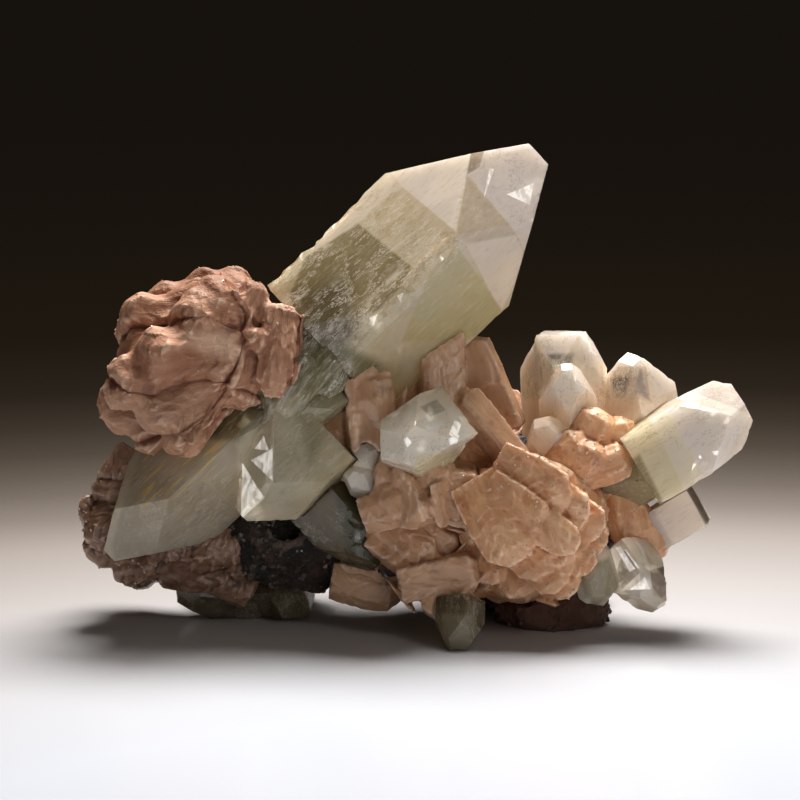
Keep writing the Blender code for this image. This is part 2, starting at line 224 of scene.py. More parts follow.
def region(tree, place, corners, toward, soft):
    """A mask of one polygon, given by corners (across, up), that runs straight into the specimen."""
    corners = [spot(*corner, toward) / MM for corner in corners]
    middle = sum(corners, Vector()) / len(corners)
    sides = []
    for a, b in zip(corners, corners[1:] + corners[:1]):
        inwards = (b - a).cross(TOWARD).normalized()
        if inwards.dot(middle - a) < 0:
            inwards = -inwards
        sides.append((inwards.dot(RIGHT), inwards.dot(UP), -inwards.dot(a)))
    sides += sides[-1:] * (-len(sides) % 3)  # the last side again, to fill the last vector
    across, up = seen_axes(tree, place)
    least = None
    for first in range(0, len(sides), 3):
        by_across, by_up, level = zip(*sides[first:first + 3])
        inside = vector_of(tree, "MULTIPLY_ADD", across, by_across, level)
        inside = vector_of(tree, "MULTIPLY_ADD", up, by_up, inside)
        least = inside if least is None else vector_of(tree, "MINIMUM", least, inside)
    three = put(tree, "ShaderNodeSeparateXYZ", None, {0: least}).outputs
    least = math_of(tree, "MINIMUM", math_of(tree, "MINIMUM", three[0], three[1]), three[2])
    return between(tree, least, -soft, soft)


def painted(tree, place, color, zones):
    """A colour with patches on it, each row of zones: corners, how near, how soft, colour, strength."""
    for corners, toward, soft, hue, strength in zones:
        inside = region(tree, place, corners, toward, soft)
        color = blended(tree, math_of(tree, "MULTIPLY", inside, strength), color, hue)
    return color


print("patch helpers ready")

# %% [markdown]
# ## Effects that several finishes share
#
# Three effects come back in more than one material, so each is a node group. Fine strands follow the way a
# sheaf grew: the pattern is read in coordinates that barely change along a strand. Growth lines do the same
# along a crystal's long axis. Specks are the dust of tiny grains that sits on everything.

# %% Group: strands of a sheaf
PLACE_SHARE = (0.12,) * 3  # how much of the plain place is mixed in, so that a strand isn't endless
strands, given, out = new_group(
    "strands",
    [("Strand", VECTOR, None), ("Place", VECTOR, None), ("Fineness", FLOAT, 1.0)],
    [("Tint", FLOAT), ("Relief", FLOAT)],
)
across_strands = added(strands, given["Strand"], scaled(strands, given["Place"], PLACE_SHARE))
coarse = mottle(strands, across_strands, math_of(strands, "MULTIPLY", given["Fineness"], 0.55), 3)
fine = mottle(strands, across_strands, math_of(strands, "MULTIPLY", given["Fineness"], 2.6), 2)
grain = mottle(strands, given["Place"], 3.2, 2)
strands.links.new(between(strands, coarse, 0.33, 0.68), out["Tint"])
relief = math_of(strands, "MULTIPLY_ADD", fine, 0.6, math_of(strands, "MULTIPLY", grain, 0.4))
strands.links.new(math_of(strands, "MULTIPLY_ADD", coarse, 0.8, relief), out["Relief"])
print("group:", strands.name)

# %% Group: growth lines of a crystal
LENGTHWISE, CROSSWISE = (1.0, 1.0, 0.05), (0.06, 0.06, 1.0)  # drawn out along the axis, and across it
growth_lines, given, out = new_group("growth_lines", [("Growth", VECTOR, None)], [("Relief", FLOAT)])
lengthwise = mottle(growth_lines, scaled(growth_lines, given["Growth"], LENGTHWISE), 1.6, 3, 0.6)
crosswise = mottle(growth_lines, scaled(growth_lines, given["Growth"], CROSSWISE), 0.45, 2)
waves = mottle(growth_lines, given["Growth"], 0.16, 2)
lines = math_of(growth_lines, "MULTIPLY_ADD", crosswise, 0.8, lengthwise)
growth_lines.links.new(math_of(growth_lines, "MULTIPLY_ADD", waves, 2.2, lines), out["Relief"])
print("group:", growth_lines.name)

# %% Group: specks
specks, given, out = new_group(
    "specks",
    [("Place", VECTOR, None), ("Spread", FLOAT, 0.5), ("Amount", FLOAT, 0.3)],
    [("Mask", FLOAT)],
)
cells = put(specks, "ShaderNodeTexVoronoi", None, {"Vector": given["Place"], "Scale": given["Spread"]})
dots = between(specks, cells.outputs["Distance"], 0.16, 0.06)
chance = put(specks, "ShaderNodeSeparateColor", None, {0: cells.outputs["Color"]}).outputs[0]
shown = math_of(specks, "LESS_THAN", chance, given["Amount"])
specks.links.new(math_of(specks, "MULTIPLY", dots, shown), out["Mask"])
print("group:", specks.name)

# %% [markdown]
# ## Apophyllite
#
# Apophyllite is a clear mineral with a glassy surface, but inclusions and healed cracks make much of it
# milky. Plain glass would look empty, so each finish keeps a share of plain pale surface beside the glass
# share, and a pale absorption inside tints the thick parts yellow green. The plain share is duller towards
# the root, by the depth that each mesh stores, and fine pale and brown fibres run along the crystal.
#
# The inside of a crystal could be modelled face by face, but its cracks and veils have no end. They are
# painted instead, in layers: patches with straight edges, most of them painted reflections of the inner faces
# and painted shade, golden hairs of stain, milky veils with dark cracks beside them, and a few painted
# highlights, glints that shine on their own. A patch can also be more matte or more polished than the rest.
# Each layer is a short function.

# %% Helpers for what is seen inside a crystal
BLACK = (0, 0, 0, 1)
VEIL_TONE, CRACK_TONE, GLINT_TONE = (1.0, 0.92, 0.78, 1), (0.16, 0.12, 0.05, 1), (1.0, 0.97, 0.92, 1)
RIM, RIM_WIDTH = 0.51, 0.022  # where in the noise of a veil its bright rim lies
CRACK, CRACK_WIDTH = 0.43, 0.012  # and where a crack runs
VEIL_EDGE, STAIN_EDGE, GLINT_EDGE, MIRROR_EDGE = 1.2, 1.5, 0.1, 0.15  # how softly each layer ends, in mm


def most_of(tree, masks):
    """The largest of some masks at each point."""
    most = masks[0]
    for mask in masks[1:]:
        most = math_of(tree, "MAXIMUM", most, mask)
    return most


def near_level(tree, value, level, width):
    """1 where a value is at a level, and 0 from a small width away."""
    away = math_of(tree, "ABSOLUTE", math_of(tree, "SUBTRACT", value, level))
    return between(tree, away, width, 0.0)


def stained(tree, place, growth, color, corners, toward, hue):
    """Thin hairs along the crystal, inside one polygon."""
    hairs = mottle(tree, scaled(tree, growth, (1.0, 1.0, 0.09)), 1.2, 1, 0.4)
    inside = region(tree, place, corners, toward, STAIN_EDGE)
    return blended(tree, math_of(tree, "MULTIPLY", between(tree, hairs, 0.55, 0.6), inside), color, hue)


def veiled(tree, place, growth, relief, color, veils):
    """Curled veils and cracks, each row: corners, how near, amount, stretch. Equal stretches share nodes."""
    for stretch in sorted({row[3] for row in veils}):
        covered = most_of(tree, [
            math_of(tree, "MULTIPLY", region(tree, place, corners, toward, VEIL_EDGE), amount)
            for corners, toward, amount, own in veils if own == stretch])
        drawn = scaled(tree, growth, (1.0, 1.0, stretch))
        cloudy = mottle(tree, added(tree, drawn, math_of(tree, "MULTIPLY", relief, 1.6)), 0.36, 4, 0.7)
        wisp = math_of(tree, "MAXIMUM", near_level(tree, cloudy, RIM, RIM_WIDTH),
                       between(tree, cloudy, 0.53, 0.68, 0.0, 0.8))
        thinned = between(tree, mottle(tree, drawn, 0.25, 2), 0.38, 0.55, 0.15, 1.0)
        wisp = math_of(tree, "MULTIPLY", wisp, thinned)
        color = blended(tree, math_of(tree, "MULTIPLY", wisp, covered), color, VEIL_TONE)
        crack = math_of(tree, "MULTIPLY", near_level(tree, cloudy, CRACK, CRACK_WIDTH),
                        math_of(tree, "MULTIPLY", covered, 0.6))
        color = blended(tree, crack, color, CRACK_TONE)
    return color


def glinting(tree, place, shader, glints):
    """Painted highlights: small facets that shine on their own in a grainy way, each row: corners, how near.
    """
    glow = most_of(tree, [region(tree, place, corners, toward, GLINT_EDGE) for corners, toward in glints])
    grainy = mottle(tree, scaled(tree, place, (1.0, 1.0, 0.5)), 0.9, 2, 0.6)
    glow = math_of(tree, "MULTIPLY", glow, between(tree, grainy, 0.38, 0.62, 0.35, 1.0))
    tree.links.new(blended(tree, glow, BLACK, GLINT_TONE), shader.inputs["Emission Color"])
    shader.inputs["Emission Strength"].default_value = 0.5


def polished(tree, place, roughness, mirrors):
    """A roughness with patches of their own, each row: corners, how near, roughness."""
    for corners, toward, level in mirrors:
        inside = region(tree, place, corners, toward, MIRROR_EDGE)
        inputs = {0: inside, 2: roughness, 3: level}
        roughness = put(tree, "ShaderNodeMix", {"data_type": "FLOAT"}, inputs).outputs[0]
    return roughness


print("layers inside a crystal ready")

# %% Helper that makes an apophyllite finish
DUST, MILK, UMBER = (0.05, 0.03, 0.02, 1), (1.0, 0.93, 0.84, 1), (0.34, 0.27, 0.17, 1)
GROWTH_DEPTH = 0.02 * MM
SCATTER_DEPTH, SCATTER_TONE = 5 * MM, (1.0, 0.9, 0.7)


def apophyllite(name, glass, pale, deep, tint, density, roughness=0.06, fibres=1.0, zones=(), stain=None,
                veils=(), mirrors=(), glints=()):
    material, tree, shader, place = new_material(name)
    growth = attribute(tree, "growth")
    relief = placed_group(tree, growth_lines, {"Growth": growth})["Relief"]
    fibre = mottle(tree, scaled(tree, growth, (1.0, 1.0, 0.22)), 1.3, 3, 0.75)
    cloud = between(tree, mottle(tree, place, 0.09, 3, 0.6), 0.36, 0.62)
    streak = math_of(tree, "MULTIPLY", between(tree, fibre, 0.3, 0.7), 0.3)
    cloud = math_of(tree, "MULTIPLY_ADD", cloud, 0.45, streak)
    cloud = math_of(tree, "MULTIPLY_ADD", attribute(tree, "depth", "Fac"), 0.5, cloud, clamp=True)
    dust = placed_group(tree, specks, {"Place": place, "Spread": 0.9, "Amount": 0.3})["Mask"]
    color = blended(tree, cloud, pale, deep)
    color = blended(tree, math_of(tree, "MULTIPLY", dust, 0.6), color, DUST)
    color = painted(tree, place, color, zones)
    color = blended(tree, between(tree, fibre, 0.5, 0.75, 0.0, 0.4 * fibres), color, MILK)
    color = blended(tree, between(tree, fibre, 0.5, 0.25, 0.0, 0.3 * fibres), color, UMBER)
    if stain:
        color = stained(tree, place, growth, color, *stain)
    color = veiled(tree, place, growth, relief, color, veils)
    if glints:
        glinting(tree, place, shader, glints)
    wear = between(tree, mottle(tree, place, 0.35, 2), 0.35, 0.75, roughness * 0.5, roughness * 3)
    bump = put(tree, "ShaderNodeBump", None, {"Strength": 0.5, "Distance": GROWTH_DEPTH, "Height": relief})
    absorption = put(tree, "ShaderNodeVolumeAbsorption", None, {"Color": tint, "Density": density})
    tree.links.new(color, shader.inputs["Base Color"])
    tree.links.new(polished(tree, place, wear, mirrors), shader.inputs["Roughness"])
    tree.links.new(bump.outputs[0], shader.inputs["Normal"])
    tree.links.new(absorption.outputs[0], tree.nodes["Material Output"].inputs["Volume"])
    shader.inputs["IOR"].default_value = 1.535
    shader.inputs["Transmission Weight"].default_value = glass
    shader.inputs["Subsurface Weight"].default_value = 1.0
    shader.inputs["Subsurface Radius"].default_value = SCATTER_TONE
    shader.inputs["Subsurface Scale"].default_value = SCATTER_DEPTH
    return material


print("apophyllite helper ready")

# %% [markdown]
# The finishes differ in what is seen inside, so each group of crystals has its own. In the tables a row is
# one patch: its corners across and up, how near the viewer they are and how soft its edge is, all in
# millimetres, then its colour and its strength. Later rows lie over earlier ones. The tables give a few
# corners for each patch.
#
# The large crystal is milky, with straight bright facets near its tip that are painted reflections of faces
# inside, and dark lower down, where the rock behind it shows: that dark is painted shade. The two crystals
# below it are clearer, with a broad matte front and golden streaks. In the crystals' tables most pale and
# white patches are painted reflections and painted highlights, most dark ones painted shade, and the rest are
# the mineral's own tones.

# %% The patches of the large crystals
MAIN_ZONES = [
    ([(-36.3, -7.5), (-30.9, 1.3), (-18.0, 1.8), (-23.0, -2.5), (-28.7, -7.5)],
     6, 0.8, (0.13, 0.105, 0.04, 1), 0.8),
    ([(-52.1, -26.3), (-46.7, -8.5), (-29.3, -7.2), (-28.7, -21.6), (-39.5, -28.1), (-51.5, -28.7)],
     2, 0.6, (0.48, 0.42, 0.33, 1), 0.65),
    ([(-29.0, -7.2), (-20.4, 1.8), (-7.8, -1.8), (-7.8, -6.6), (-13.2, -13.8), (-24.0, -19.2),
      (-28.9, -21.9)], 14, 0.4, (0.68, 0.64, 0.48, 1), 0.5),
    ([(-1.8, 41.3), (9.0, 43.7), (12.8, 44.5), (12.0, 40.3), (10.4, 29.6), (0.3, 38.6)],
     8, 0.25, (1.0, 0.89, 0.79, 1), 0.9),
    ([(0.3, 38.6), (10.2, 29.6), (9.9, 27.5), (2.1, 23.7), (-7.5, 31.9)],
     8, 0.25, (0.76, 0.62, 0.43, 1), 0.7),
    ([(-9.9, 34.7), (-1.8, 41.3), (0.3, 38.6), (-7.5, 31.9), (-17.1, 25.1), (-17.1, 27.8)],
     6, 0.4, (0.95, 0.83, 0.68, 1), 0.7),
    ([(-17.1, 26.0), (-7.5, 31.9), (2.1, 23.7), (-0.9, 18.9), (-11.1, 9.3), (-18.9, 11.7), (-19.8, 19.5)],
     8, 0.3, (0.27, 0.21, 0.09, 1), 0.85),
    ([(-19.5, 19.5), (-9.3, 22.5), (-8.1, 11.7), (-14.1, 6.9), (-19.5, 9.3)],
     8, 3.0, (0.09, 0.065, 0.025, 1), 0.75),
    ([(5.1, 22.5), (10.1, 27.5), (16.9, 18.6), (18.4, 15.9), (12.9, 11.0), (0.3, 10.5)],
     8, 0.3, (0.62, 0.54, 0.27, 1), 0.75),
    ([(10.1, 27.5), (20.8, 29.6), (22.6, 26.0), (18.4, 15.9), (16.9, 18.6)],
     8, 0.25, (1.0, 0.87, 0.75, 1), 0.85),
    ([(-20.7, 15.3), (-11.1, 10.5), (0.3, 12.3), (-6.3, 0.9), (-20.7, 0.9)],
     8, 1.2, (0.2, 0.19, 0.075, 1), 0.85),
    ([(15.3, 45.1), (23.2, 46.7), (26.9, 41.9), (25.1, 30.2), (20.8, 29.8), (12.0, 40.3)],
     3, 0.2, (0.92, 0.82, 0.8, 1), 0.85),
    ([(20.8, 29.6), (25.1, 30.8), (22.6, 26.0)], 3, 0.2, (0.98, 0.9, 0.86, 1), 0.6),
    ([(11.9, 40.1), (20.8, 29.8), (10.1, 27.5)], 6, 0.15, (0.7, 0.57, 0.46, 1), 0.8),
    ([(12.8, 44.6), (15.3, 45.2), (14.2, 41.7), (12.0, 40.3)], 4, 0.15, (0.34, 0.27, 0.21, 1), 0.8),
    ([(-46.7, -8.5), (-36.8, -6.9), (-29.3, 1.2), (-20.4, 1.8), (-29.0, -6.9), (-29.3, -10.8),
      (-37.7, -11.4)], 6, 0.6, (0.13, 0.105, 0.04, 1), 0.8),
    ([(-19.2, -0.6), (-10.2, 3.6), (-7.8, -6.6), (-13.2, -13.8), (-21.6, -19.2), (-16.2, -10.8)],
     14, 1.5, (0.3, 0.27, 0.13, 1), 0.7),
    ([(-26.6, -10.2), (-23.0, -8.5), (-23.0, -14.1)], 16, 0.12, (0.8, 0.74, 0.66, 1), 0.8),
]
print("patches in the large crystals:", len(MAIN_ZONES))

# %% The veils, glints and streaks of the large crystals
MAIN_VEILS = [
    ([(-23.7, 22.5), (-9.9, 34.7), (-2.1, 41.3), (9.3, 27.8), (-5.7, 11.7), (-19.5, 9.0)], 8, 0.9, 0.5),
    ([(9.9, 30.2), (12.3, 27.8), (-2.7, 11.7), (-14.1, 3.9), (-17.7, 5.7), (-6.3, 18.3)], 8, 0.85, 0.16),
    ([(-24.0, 7.2), (-18.9, 14.1), (-10.5, 11.7), (-6.3, 0.9), (-10.2, 0.0), (-21.6, -4.2)], 12, 1.0, 0.16),
    ([(-28.5, -7.2), (-20.4, 1.8), (-7.8, -1.8), (-9.6, -8.6), (-21.6, -18.8)], 15, 0.55, 0.16),
    ([(-50.9, -21.6), (-48.5, -12.6), (-29.3, -13.8), (-29.3, -21.6), (-39.5, -26.3)], 2, 0.6, 0.16),
    ([(13.0, 46.5), (28.5, 42.0), (21.0, 27.0)], 3, 0.8, 0.5),
]
MAIN_GLINTS = [
    ([(-18.9, 27.0), (-17.5, 27.9), (-17.8, 25.2)], 8),
    ([(-16.8, 28.8), (-15.5, 29.1), (-16.2, 27.5)], 8),
    ([(-12.7, 32.0), (-11.6, 32.6), (-12.1, 31.1)], 8),
    ([(-5.5, 14.7), (-4.0, 15.4), (-4.8, 13.1)], 10),
    ([(-0.5, 18.7), (0.6, 19.2), (0.1, 17.4)], 10),
    ([(-28.9, -11.5), (-29.0, -21.7), (-24.7, -17.7)], 16),
    ([(-26.5, -8.9), (-24.8, -6.5), (-23.8, -9.2)], 16),
    ([(-27.2, -11.0), (-23.1, -8.8), (-23.1, -14.6)], 16),
    ([(19.0, 36.7), (24.0, 38.9), (23.2, 34.9)], 2),
    ([(16.0, 41.5), (16.8, 41.3), (14.9, 35.8)], 3),
]
MAIN_MIRRORS = [
    ([(-29.3, -6.7), (-22.9, -3.4), (-22.8, -14.3), (-24.7, -18.0), (-29.1, -22.3)], 16, 0.45),
]
STREAKS = [(-47.5, -9.0), (-32.5, -7.6), (-34.0, -15.0), (-46.0, -19.0)]
GOLD = (0.98, 0.72, 0.28, 1)
milky = apophyllite("apophyllite_milky", 0.4, (0.96, 0.86, 0.70, 1), (0.66, 0.56, 0.34, 1),
                    (0.93, 0.88, 0.62, 1), 30, zones=MAIN_ZONES, stain=(STREAKS, 2, GOLD),
                    veils=MAIN_VEILS, mirrors=MAIN_MIRRORS, glints=MAIN_GLINTS)
print("finish:", milky.name)

# %% [markdown]
# The front crystal and the two that hang at the lower right are the clearest. They share their plain colours
# and have a few hard, white glints, painted highlights that are a white patch which also glows. A glint's
# corners are named once, because the painted patch under it and the painted light on it are the same.

# %% Finish the clear crystals
CLEAR = (1.0, 0.94, 0.84, 1), (0.95, 0.86, 0.70, 1), (0.96, 0.92, 0.82, 1), 25
HIGHLIGHT_WHITE = (1, 1, 1, 1)
FRONT_TIP_GLINT = [(0.6, -7.1), (1.3, -6.6), (2.2, -7.7), (1.3, -8.5)]
FRONT_SPARK = [(8.7, -6.9), (10.7, -6.3), (10.3, -7.8), (9.0, -8.1)]
# white patches are painted highlights, most others painted reflections of inner faces, the yellow one a tone
CENTER_ZONES = [
    (FRONT_TIP_GLINT, 16, 0.12, HIGHLIGHT_WHITE, 1.0),
    ([(-1.8, -3.6), (0.3, -6.6), (3.6, -1.8), (4.2, -4.5), (0.6, -9.0), (-2.4, -6.9)],
     16, 0.25, (0.8, 0.7, 0.56, 1), 0.5),
    ([(4.5, -4.5), (7.5, -3.9), (7.9, -4.9), (5.1, -5.5)], 16, 0.15, HIGHLIGHT_WHITE, 0.8),
    (FRONT_SPARK, 16, 0.15, HIGHLIGHT_WHITE, 0.9),
    ([(3.6, -1.2), (6.6, 0.1), (8.3, -1.8), (5.4, -3.0)], 16, 0.2, (0.42, 0.38, 0.32, 1), 0.8),
    ([(1.8, -13.2), (4.8, -13.8), (13.2, -9.6), (9.6, -9.0), (3.0, -10.2)],
     16, 0.5, (0.86, 0.78, 0.42, 1), 0.7),
    ([(-1.8, -1.2), (3.9, 1.5), (3.6, -1.2), (0.3, -6.6), (-2.7, -6.6)],
     16, 0.2, (0.98, 0.92, 0.84, 1), 0.7),
    ([(8.3, -1.8), (10.2, -0.3), (13.2, -7.5), (10.8, -9.0)], 16, 0.2, (0.98, 0.94, 0.86, 1), 0.7),
    ([(9.6, 1.2), (13.2, -1.2), (16.8, -9.0), (14.4, -10.2), (12.6, -3.6)],
     8, 0.4, (0.62, 0.54, 0.36, 1), 0.7),
]
CENTER_GLINTS = [(FRONT_TIP_GLINT, 16), (FRONT_SPARK, 16),
                 ([(9.9, -3.6), (11.1, -4.3), (10.1, -7.2), (8.8, -6.1)], 16)]
CENTER_VEILS = [([(-3.5, -4.0), (11.0, -4.0), (11.0, -16.0), (-3.5, -16.0)], 16, 0.9, 0.5)]
clear = apophyllite("apophyllite_clear", 0.45, *CLEAR, roughness=0.04, zones=CENTER_ZONES,
                    veils=CENTER_VEILS, glints=CENTER_GLINTS)
print("finish:", clear.name)

# %% Finish the glassy crystals at the lower right
BROAD_EDGE_GLINT = [(38.8, -26.6), (39.6, -26.3), (42.2, -30.3), (41.3, -30.9)]
THIN_EDGE_GLINT = [(40.3, -26.9), (40.6, -26.8), (43.0, -30.1), (42.7, -30.3)]
# painted light and shade on the facets: the dark patches are painted shade, the white ones painted highlights
LOWER_ZONES = [
    ([(44.9, -30.5), (47.6, -30.0), (48.3, -34.5), (46.9, -35.6), (45.3, -33.6)],
     3, 0.15, (0.14, 0.11, 0.085, 1), 0.9),
    ([(40.4, -26.6), (42.0, -28.7), (43.1, -30.9), (39.9, -34.1), (39.0, -30.5)],
     3, 0.15, (0.30, 0.26, 0.2, 1), 0.8),
    (BROAD_EDGE_GLINT, 4, 0.15, HIGHLIGHT_WHITE, 1.0),
    (THIN_EDGE_GLINT, 4, 0.1, HIGHLIGHT_WHITE, 0.9),
    ([(40.4, -35.0), (44.3, -31.0), (45.6, -35.3)], 3, 0.15, (1.0, 0.95, 0.9, 1), 0.8),
    ([(31.4, -30.5), (37.6, -28.3), (39.6, -33.9), (34.8, -37.6)], 6, 0.5, (0.36, 0.32, 0.19, 1), 0.75),
    ([(33.0, -30.1), (37.6, -30.0), (36.6, -35.3), (33.2, -35.7)], 6, 0.2, (0.62, 0.58, 0.46, 1), 0.7),
    ([(44.3, -27.7), (48.6, -33.3), (48.6, -36.2), (45.5, -35.0)], 3, 0.4, (0.6, 0.47, 0.36, 1), 0.6),
]
LOWER_GLINTS = [(BROAD_EDGE_GLINT, 4), (THIN_EDGE_GLINT, 4), ([(41.3, -34.1), (44.0, -31.8), (44.9, -34.0)], 4)]
glassy = apophyllite("apophyllite_glassy", 0.45, *CLEAR, roughness=0.04, zones=LOWER_ZONES,
                     glints=LOWER_GLINTS)
print("finish:", glassy.name)

# %% [markdown]
# The crystals at the upper right and the right end are whiter and less clear. Their broad faces differ by
# whole tones of painted light and shade, and the striated one at the end is matte.

# %% Finish the white crystals at the upper right
WHITE = (1.0, 0.90, 0.82, 1), (0.90, 0.76, 0.62, 1), (0.96, 0.93, 0.87, 1), 20
UPPER_ZONES = [
    ([(20.9, -2.4), (30.0, -2.4), (34.0, -12.0), (22.0, -12.0)], 7, 0.6, (1.0, 0.80, 0.63, 1), 0.7),
    ([(26.4, 8.3), (31.2, 8.3), (30.6, 6.0), (26.7, 5.5)], -3, 0.5, (0.2, 0.185, 0.18, 1), 0.9),
    ([(25.0, 8.8), (29.2, 12.4), (33.1, 12.0), (30.9, 8.8), (26.4, 8.2)],
     -3, 0.15, (0.97, 0.88, 0.82, 1), 0.7),
    ([(33.1, 12.0), (35.1, 10.2), (36.5, 3.7), (34.0, 6.0), (31.2, 8.5)],
     -3, 0.15, (0.98, 0.92, 0.88, 1), 0.7),
    ([(21.9, 3.7), (25.0, 8.8), (28.6, 6.5), (24.7, 0.9), (21.9, -0.2)],
     -3, 0.3, (0.62, 0.57, 0.44, 1), 0.6),
    ([(24.6, 1.2), (31.3, 6.6), (33.4, 0.1), (30.0, -2.0)], 2, 0.15, (1.0, 0.94, 0.88, 1), 0.9),
    ([(37.9, 4.0), (39.2, 6.0), (44.3, 6.0), (45.0, -0.1), (38.5, 0.3)],
     -3, 0.2, (0.62, 0.48, 0.40, 1), 0.85),
    ([(38.1, 3.7), (41.1, 4.3), (40.4, 0.2), (38.5, 0.6)], -3, 0.4, (0.16, 0.15, 0.15, 1), 0.9),
    ([(42.1, 1.5), (43.2, 6.0), (44.8, -0.1)], -3, 0.2, (0.3, 0.27, 0.27, 1), 0.6),
    ([(44.5, 6.5), (52.3, 2.6), (46.0, 0.6)], -3, 0.2, (0.98, 0.91, 0.86, 1), 0.7),
    ([(21.9, -0.5), (36.5, 2.0), (37.6, -4.2), (26.4, -4.2)], 0, 1.0, (1.0, 0.82, 0.64, 1), 0.7),
    ([(34.8, 3.1), (46.0, -0.3), (49.4, 1.2), (41.5, -4.2), (36.5, -2.5)],
     0, 0.6, (0.86, 0.66, 0.48, 1), 0.6),
]
UPPER_VEILS = [([(22.0, 14.0), (47.0, 10.0), (47.0, -1.0), (22.0, 0.0)], 0, 1.0, 0.5)]
white = apophyllite("apophyllite_white", 0.32, *WHITE, zones=UPPER_ZONES, veils=UPPER_VEILS)
print("finish:", white.name)

# %% Finish the banded crystal and the blunt one at the right end
RIGHT_ZONES = [
    ([(48.3, -1.1), (52.8, 2.9), (59.8, 4.0), (63.5, -2.8), (61.2, -1.9)],
     4, 0.15, (0.66, 0.57, 0.52, 1), 0.85),
    ([(48.0, -1.6), (61.2, -2.0), (63.5, -2.8), (57.3, -12.6), (54.2, -13.2), (50.0, -7.0)],
     6, 0.15, (1.0, 0.93, 0.87, 1), 0.8),
    ([(44.6, -2.6), (48.0, -1.6), (54.5, -13.2), (51.6, -17.2)], 6, 0.15, (0.98, 0.9, 0.7, 1), 0.8),
    ([(39.1, -6.0), (44.6, -2.6), (51.6, -17.2), (46.0, -18.2)], 6, 0.15, (0.9, 0.81, 0.52, 1), 0.8),
    ([(39.1, -5.0), (47.2, -1.3), (53.0, 2.9), (47.2, 1.2), (40.4, -2.5)],
     4, 0.3, (0.8, 0.6, 0.36, 1), 0.6),
    # painted shade on the olive crystal under the banded one
    ([(34.8, -14.8), (42.7, -9.8), (47.2, -18.7), (40.4, -22.1)], 0, 0.5, (0.3, 0.25, 0.11, 1), 0.85),
]
RIGHT_VEILS = [([(36.0, 10.0), (63.0, 6.0), (63.0, -8.0), (36.0, -8.0)], 0, 0.9, 0.5)]
RIGHT_MIRRORS = [([(42.0, 3.0), (66.0, 9.0), (68.0, -3.0), (60.0, -3.0)], 4, 0.95)]
# painted shade on the block's thin dark side face, then a paler face
BLOCK_ZONES = [
    ([(51.4, -16.2), (52.9, -15.3), (55.9, -21.6), (54.7, -22.4)], -3, 0.2, (0.07, 0.055, 0.045, 1), 0.9),
    ([(44.9, -20.4), (51.6, -17.1), (54.5, -22.1), (46.6, -26.6)], -3, 1.5, (0.92, 0.78, 0.66, 1), 0.7),
]
banded = apophyllite("apophyllite_banded", 0.32, *WHITE, zones=RIGHT_ZONES, veils=RIGHT_VEILS,
                     mirrors=RIGHT_MIRRORS)
blunt = apophyllite("apophyllite_blunt", 0.35, *WHITE, zones=BLOCK_ZONES)
print("finishes:", banded.name, blunt.name)

# %% [markdown]
# The crystals underneath stand in the shade of the others and look smoky. Their finish is a darker copy with
# that shade painted in: it takes more light away inside, and shows fewer fibres.

# %% Finish the shaded crystals
# painted shade on the inner crystal, a painted highlight on a lower left one, a paler patch on the bottom one
SHADED_ZONES = [
    ([(-12.0, -16.0), (0.0, -20.0), (4.0, -36.0), (-8.0, -36.0)], 4, 1.0, (0.085, 0.085, 0.035, 1), 0.9),
    ([(-35.5, -32.8), (-31.0, -32.4), (-31.2, -35.8), (-36.0, -35.4)],
     -8, 0.15, (0.95, 0.86, 0.76, 1), 0.8),
    ([(7.5, -38.5), (13.5, -38.5), (13.5, -46.0), (7.5, -46.0)], 12, 0.6, (0.42, 0.38, 0.26, 1), 0.7),
]
SHADED_VEILS = [([(-45.0, -20.0), (20.0, -20.0), (20.0, -48.0), (-45.0, -48.0)], 0, 0.45, 0.5)]
shade_darkened = apophyllite("apophyllite_shaded", 0.5, (0.30, 0.24, 0.14, 1), (0.16, 0.12, 0.06, 1),
                    (0.82, 0.76, 0.52, 1), 90, fibres=0.25, zones=SHADED_ZONES, veils=SHADED_VEILS)
print("finish:", shade_darkened.name)

# %% [markdown]
# ## Stilbite
#
# Stilbite is pearly, between silk and candle wax. Its colour runs from cream on raised plate edges, a painted
# highlight, to brown red in the creases, partly painted shade, which the mesh tells the material by a stored
# relief value, and it drifts in broad rusty patches. Light goes a little way into it, but that is only worth
# its render time on the bright fan, so the others do without. A few large patches, as in the crystals'
# tables, are mostly painted shade and painted highlights. The shaded finish is a darker copy with the shade
# of the low sheaves at the left painted in.

# %% Helper that makes a stilbite finish
STRAND_DUST = (0.10, 0.05, 0.03, 1)


